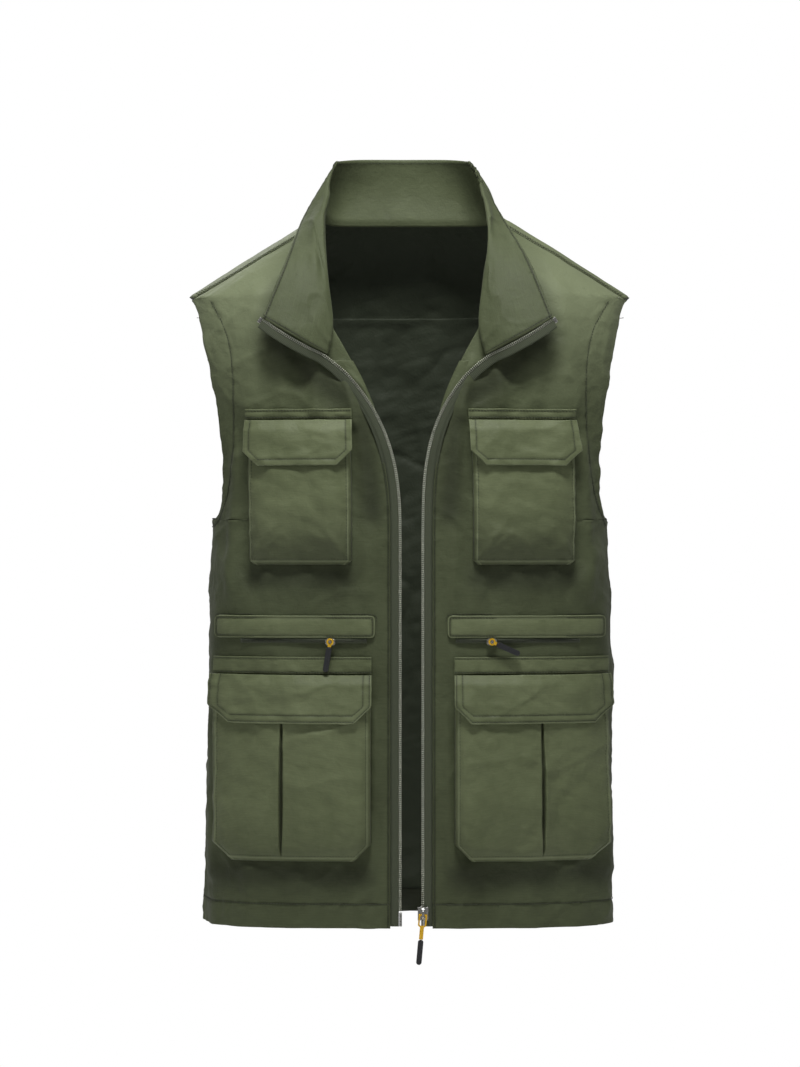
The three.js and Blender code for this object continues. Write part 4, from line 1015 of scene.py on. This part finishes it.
def bag_surface(pocket, side, x_off, z):
    """The outer face of a bag, its seams and open pleat darkened (the pleat as painted shade), its worn
    edges and its painted shade, at distances from its middle and heights.
    """
    half = pocket["width"] / 2 - corner_cut(z - pocket["bottom"], pocket["corner"])
    x_off = x_off * half
    x = middle_x_of(pocket, side) + x_off
    u = x_off / pocket["width"] + 0.5
    from_side, from_bottom = half - np.abs(x_off), z - pocket["bottom"]
    full = np.maximum(bag_rise(pocket, z, u), 3.4) - lay_gap
    seed = {"chest": 200, "cargo": 220}[pocket["name"]] + side
    wall = 1 - (1 - share(from_side, 0, gusset)) ** 2.5
    face_rise = 26 if pocket["slit"] is None else 14
    face = 0.42 + 0.58 * np.sin(np.pi / 2 * share(from_side, gusset - 2, face_rise))
    under = 1 - (1 - share(from_bottom, 0, gusset)) ** 2.5
    belly = 0.25 + 0.75 * np.sin(np.pi / 2 * share(from_bottom, gusset - 2, pocket["under"])) ** 0.9
    soft = -np.log(np.exp(-9 * face) + np.exp(-9 * belly)) / 9
    lifted = np.minimum(wall, under) * np.clip(0.6 * soft + 0.4 * np.minimum(face, belly), 0, 1)
    height = bag_ply * 0.6 + full * lifted
    inside = share(from_side, gusset, 14) * share(from_bottom, gusset, 16)
    height = height + inside * (1.2 * noise(x, z, 24, 60, seed)
                                + 0.8 * noise(x + 0.7 * z, z - x, 22, 16, seed + 5))
    ridge = np.minimum(np.abs(from_side - gusset), np.abs(from_bottom - gusset) + 0 * x_off)
    height = height + 0.7 * seam_mark(ridge, 0.8) * np.minimum(1, full / 6)
    near_edge = np.minimum(from_side, from_bottom)
    height = height + 0.5 * np.exp(-np.abs(near_edge - gusset) / 5) * noise(x, z, 5, 5, seed + 7) * share(
        near_edge, 0, 2)
    if pocket["slit"] is None:  # folds that run up and in from the lower corners
        for turn in (-1, 1):
            for lean, far, tall in ((0.75, 44, 2.4), (0.45, 30, 1.6), (1.25, 36, 1.5)):
                along = [(turn * 46, pocket["bottom"] + 5),
                         (turn * (46 - lean * far * 0.8), pocket["bottom"] + far)]
                fade = share(from_bottom, far * 1.15, far * 0.3)
                ridge_here = np.exp(-(near_line(x_off, z, along) / 3.2) ** 2)
                height = height + tall * ridge_here * fade * inside ** 0.3
    dark = 0.8 * seam_mark(near_edge, 1.0)
    if pocket["slit"] is not None:  # the two folds of a pleat down the middle, open part of the way, the opening painted dark as shade
        slit_top, slit_foot = mouth_z(pocket) - 10, pocket["bottom"] + 5
        open_by = np.sin(np.pi * share(z, slit_foot, slit_top) ** 0.7)
        away = np.abs(x_off - pocket["slit"]) / (0.55 + 1.15 * open_by)
        cut = np.exp(-away ** 4) * share(z, slit_foot, slit_foot + 6)
        height = height - (2.0 + 4.5 * open_by) * cut + 0.6 * np.exp(-((away - 2.2) / 1.1) ** 2) * share(
            z, slit_foot, slit_foot + 10)
        dark = np.maximum(dark, 0.95 * cut)
    wear_and_painted_light = 0.5 * seam_mark(ridge, 0.8)
    # Painted shade: the lower part of each bag is painted darker.
    low = pocket["bottom"]
    painted_shade = mix(0.62, 0.3, share(pocket["width"], 102, 155)) * share(z, low + 62, low + 20)
    return on_front(side, x, z, lay_gap + np.maximum(height, 0.9)), dark, wear_and_painted_light, painted_shade


def flap_surface(pocket, side, x_off, v):
    """The outer face of a flap, x_off from -1 to 1 across it and v from its hinge to its edge."""
    down = v * pocket["flap_height"]
    z = pocket["band_top"] - pocket["band_height"] - 0.3 - down
    half = pocket["band_width"] / 2 - corner_cut(pocket["flap_height"] - down, pocket["flap_corner"])
    x = middle_x_of(pocket, side) + x_off * half
    u = x_off * half / pocket["band_width"] + 0.5
    seed = {"chest": 300, "cargo": 320}[pocket["name"]] + side
    risen = np.maximum(bag_rise(pocket, z, u), 3) + flap_lift + flap_ply / 2
    over = mix(lay_gap + 2 * flap_ply, risen, np.minimum(1, down / pocket["mouth_drop"]))
    from_side = half * (1 - np.abs(x_off))
    left = pocket["flap_height"] - down
    from_edge = np.minimum(from_side * mix(1, 0.72, share(left, pocket["flap_corner"], 0)), left)
    near = np.min([np.abs(from_edge - line) for line in pocket["lines"]], axis=0)
    middle = share(from_edge, 3, 16) * share(v, 0, 0.25)
    height = over + flap_ply / 2 - 0.5 * seam_mark(near, 0.9) + 0.5 * np.exp(-near / 6) * noise(
        x, z, 5, 5, seed)
    creases = np.maximum(1 - 3 * np.abs(noise(x + 1.2 * z, z, 42, 30, seed + 2)), 0)
    height = height + middle * (1.3 * noise(x + 0.9 * z, z - 0.5 * x, 30, 15, seed + 1) + 1.1 * creases)
    return on_front(side, x, z, height), 0.6 * seam_mark(near, 0.9), 0.45 * seam_mark(from_edge, 0.9)


for hand, side in sides:
    for pocket in (chest, cargo):
        name, half = pocket["name"], pocket["width"] / 2
        edges = np.array([0, 0.8, 1.8, 2.9, 3.5, 4.0, 4.6, 5.4, 6.6, 8.2]) / half
        extra = []
        if pocket["slit"]:
            extra = [(pocket["slit"] + d) / half for d in (
                -6, -4.6, -3.5, -2.7, -2.1, -1.6, -1.1, -0.6, 0, 0.6, 1.1, 1.6, 2.1, 2.7, 3.5, 4.6, 6)]
        even = [p for p in np.arange(-1 + 0.11, 1 - 0.1, 2.2 / half)
                if not extra or abs(p - pocket["slit"] / half) > 7 / half]
        x_off = np.unique(np.concatenate([-1 + edges, 1 - edges, even, extra]))
        z = rows_with(pocket["bottom"], mouth_z(pocket), 2.2, [pocket["bottom"] + gusset + 1], 2.0)
        X, Z = np.meshgrid(x_off, z)
        surface, dark, wear_and_painted_light, painted_shade = bag_surface(pocket, side, X, Z)
        bag = cloth(f"{name}_bag_cloth_{hand}", surface, 1.0, {
            "seams_and_painted_shade": dark, "wear_and_painted_light": wear_and_painted_light, "painted_shade": painted_shade}, edge=1.0)
        finish_cloth(bag, lit_raised_nylon, f"{hand}_front",
                     [f"{name}_pocket_{hand}"])

        z_down = np.linspace(mouth_z(pocket) - 2, pocket["bottom"] + 6, 90)
        cut = pocket["width"] / 2 - corner_cut(z_down - pocket["bottom"], pocket["corner"])
        inset = 1 - (gusset + 1.4) / cut
        lines = [bag_surface(pocket, side, turn * inset, z_down)[0] for turn in (-1, 1)]
        lines.append(bag_surface(pocket, side, np.linspace(-1, 1, 70) * inset[-1],
                                 np.full(70, pocket["bottom"] + gusset + 2.0))[0])
        sew(f"{name}_bag_topstitching_{hand}", lines, f"{hand}_front", radius=0.36)

        span = pocket["band_width"] / 2
        band_z = rows_with(pocket["band_top"] - pocket["band_height"], pocket["band_top"], 1.6, (), 0.8)
        X, Z = np.meshgrid(rows_with(-span, span, 2.4), band_z)
        from_top = pocket["band_top"] - Z
        near = np.minimum(np.abs(from_top - 1.6), np.abs(from_top - pocket["band_height"] + 1.8))
        lift = lay_gap + flap_ply - 0.4 * seam_mark(near, 0.8) + 0.3 * noise(X, Z, 5, 4, 401 + side)
        band = cloth(f"{name}_band_cloth_{hand}", on_front(side, middle_x_of(pocket, side) + X, Z, lift),
                     1.6, {"seams_and_painted_shade": 0.6 * seam_mark(near, 0.8)})
        finish_cloth(band, lit_raised_nylon, f"{hand}_front",
                     [f"{name}_flap_band_{hand}"])
        X = np.linspace(-span + 1.5, span - 1.5, 80)
        lines = []
        for down in (1.6, pocket["band_height"] - 1.8):
            Z = np.full(80, pocket["band_top"] - down)
            lines.append(on_front(side, middle_x_of(pocket, side) + X, Z, lay_gap + flap_ply + 0.05))
        sew(f"{name}_band_topstitching_{hand}", lines, f"{hand}_front", radius=0.36)

        edges = np.array([0, 0.5, 1.1, 1.8, 2.6, 4.0, 5.2, 6.0, 6.8, 8.0, 9.0]) / span
        x_off = np.unique(np.concatenate([-1 + edges, 1 - edges, np.arange(-1, 1, 2.1 / span)[5:-5]]))
        tall, corner = pocket["flap_height"], pocket["flap_corner"]
        down = rows_with(0, tall, 1.9, [tall - line for line in pocket["lines"]], 1)
        X, V = np.meshgrid(x_off, down / tall)
        surface, dark, wear_and_painted_light = flap_surface(pocket, side, X, V)
        flap = cloth(f"{name}_flap_cloth_{hand}", surface, flap_ply, {"seams_and_painted_shade": dark, "wear_and_painted_light": wear_and_painted_light}, edge=1.4)
        finish_cloth(flap, lit_raised_nylon, f"{hand}_{name}_flap",
                     [f"{name}_flap_{hand}"])
        lines = []
        for line in pocket["lines"]:
            v = np.linspace(0.02, 1 - line / tall, 70)
            narrow = span - corner_cut(tall * (1 - v), corner)
            near_end = mix(1, 0.72, share(tall * (1 - v), corner, 0))
            reach = 1 - line / near_end / narrow
            lines += [flap_surface(pocket, side, turn * reach, v)[0] for turn in (-1, 1)]
            X = np.linspace(-1, 1, 70) * reach[-1]
            lines.append(flap_surface(pocket, side, X, np.full(70, 1 - line / tall))[0])
        sew(f"{name}_flap_topstitching_{hand}", lines, f"{hand}_{name}_flap", radius=0.38)

# ---- Zipped hand pockets ----
# A pocket let in behind each front: a folded welt stitched round its outline hides a coil zip, and
# a flat bag of nylon, painted dark as shade inside the vest, hangs behind it.
welt_from, welt_to, welt_top, welt_bottom, welt_ply = 36.0, 194.0, -389.0, -411.0, 2.4
zip_from, zip_to, zip_height, zip_lift = 44.0, 168.0, 5.0, 1.4
zip_z = welt_bottom - 0.3 - zip_height / 2
bag_from, bag_to, bag_top, bag_bottom = 46.0, 166.0, -402.0, -560.0


def hand_track(side):
    """Centre and radius of the arc about an upright axis that the hand pocket's zip follows."""
    spots = [body_point(front_angle(side, np.float64(x), zip_z), np.float64(zip_z))
             for x in (zip_from + 6, (zip_from + zip_to) / 2, zip_to - 6)]
    rows = [[2 * (b[0] - a[0]), 2 * (b[1] - a[1])] for a, b in zip(spots[:-1], spots[1:])]
    sums = [b[0] ** 2 - a[0] ** 2 + b[1] ** 2 - a[1] ** 2 for a, b in zip(spots[:-1], spots[1:])]
    centre = np.linalg.solve(np.array(rows, float), np.array(sums, float))
    return centre, np.linalg.norm(spots[0][:2] - centre)


def on_track(side, x, z, out):
    centre, radius = hand_track(side)
    spot = body_point(front_angle(side, x, np.full_like(x, zip_z)), np.full_like(x, zip_z))
    away = unit(spot[..., :2] - centre)
    place = centre + away * (radius + out)[..., None]
    return np.concatenate([place, (z + 0 * x)[..., None]], axis=-1), np.concatenate(
        [away, 0 * x[..., None]], axis=-1)


for hand, side in sides:
    rows = rows_with(welt_bottom, welt_top, 1.5, (), 0.8)
    X, Z = np.meshgrid(rows_with(welt_from, welt_to, 2.3), rows)
    middle_x, middle_z = (welt_from + welt_to) / 2, (welt_top + welt_bottom) / 2
    half_x, half_z, corner = (welt_to - welt_from) / 2, (welt_top - welt_bottom) / 2, 5.0
    tall = np.abs(Z - middle_z) / half_z
    narrow = half_x - corner * (1 - np.sqrt(np.maximum(1 - tall ** 6, 0)))
    X = middle_x + (X - middle_x) / half_x * narrow
    from_edge = np.minimum(narrow - np.abs(X - middle_x), half_z - np.abs(Z - middle_z))
    near = np.abs(from_edge - 2.0)
    lift = lay_gap + welt_ply - 0.5 * seam_mark(near, 0.9) + 0.7 * share(from_edge, 2, 8) + 0.4 * noise(
        X, Z, 14, 9, 501 + side) * share(from_edge, 1, 5)
    welt = cloth(f"hand_welt_cloth_{hand}", on_front(side, X, Z, lift), 1.8,
                 {"seams_and_painted_shade": 0.7 * seam_mark(near, 0.9), "wear_and_painted_light": 0.4 * seam_mark(from_edge, 0.8)}, edge=1.4)
    finish_cloth(welt, lit_raised_nylon, f"{hand}_front",
                 [f"hand_pocket_welt_{hand}"])
    turn = np.linspace(0, 2 * np.pi, 240)
    round_x = signed_power(np.cos(turn), 0.16) * (half_x - 2.2)
    round_z = signed_power(np.sin(turn), 0.16) * (half_z - 2.0)
    line_x, line_z = middle_x + round_x, middle_z + round_z
    frame_x = middle_x + round_x * (half_x + 1.6) / (half_x - 2.2)
    frame_z = middle_z + round_z * (half_z + 1.6) / (half_z - 2.0)
    upper = frame_z > middle_z - 6
    sew(f"hand_welt_topstitching_{hand}", [
        on_front(side, line_x, line_z, lay_gap + welt_ply + 0.1),
        on_front(side, frame_x, frame_z, 0.2)[:120][upper[:120]]],
        f"{hand}_front", radius=0.38)

    X, Z = np.meshgrid(np.linspace(zip_from, zip_to, 80),
                       zip_z + np.array([-0.5, -0.4, 0, 0.4, 0.5]) * zip_height)
    tape, _ = on_track(side, X, Z, np.full_like(X, zip_lift + 0.6))
    strip = cloth(f"hand_zip_tape_cloth_{hand}", tape, 0.6)
    finish_cloth(strip, tape_polyester, f"{hand}_front",
                 [f"hand_pocket_zip_{hand}"])
    line_x = np.linspace(zip_from + 1, zip_to - 1, 100)
    coil, coil_out = on_track(side, line_x, np.full(100, zip_z - 1.1), np.full(100, zip_lift + 0.75))
    if np.cross(coil[1] - coil[0], coil_out[0])[2] < 0:
        coil, coil_out = coil[::-1], coil_out[::-1]
    coil_row = grow_along(f"hand_zip_coil_{hand}", [coil], zip_teeth, {
        "Pitch": 1.3 * MM, "Tooth height": 0.8 * MM, "Tooth reach": 2.2 * MM, "Tooth depth": 1.0 * MM,
        "Tooth finish": coil_nylon}, [coil_out])
    attach(coil_row, f"{hand}_front")

    X, Z = np.meshgrid(rows_with(bag_from, bag_to, 4), rows_with(bag_bottom, bag_top, 4))
    lift = -shell_thick - 1.3 + 0.3 * noise(X, Z, 20, 40, 601)
    inner_bag = cloth(f"hand_bag_cloth_{hand}", on_front(side, X, Z, lift), 0.9)
    finish_cloth(inner_bag, inside_shade_nylon, f"{hand}_front",
                 [f"hand_pocket_bag_{hand}"])

bpy.context.view_layer.update()
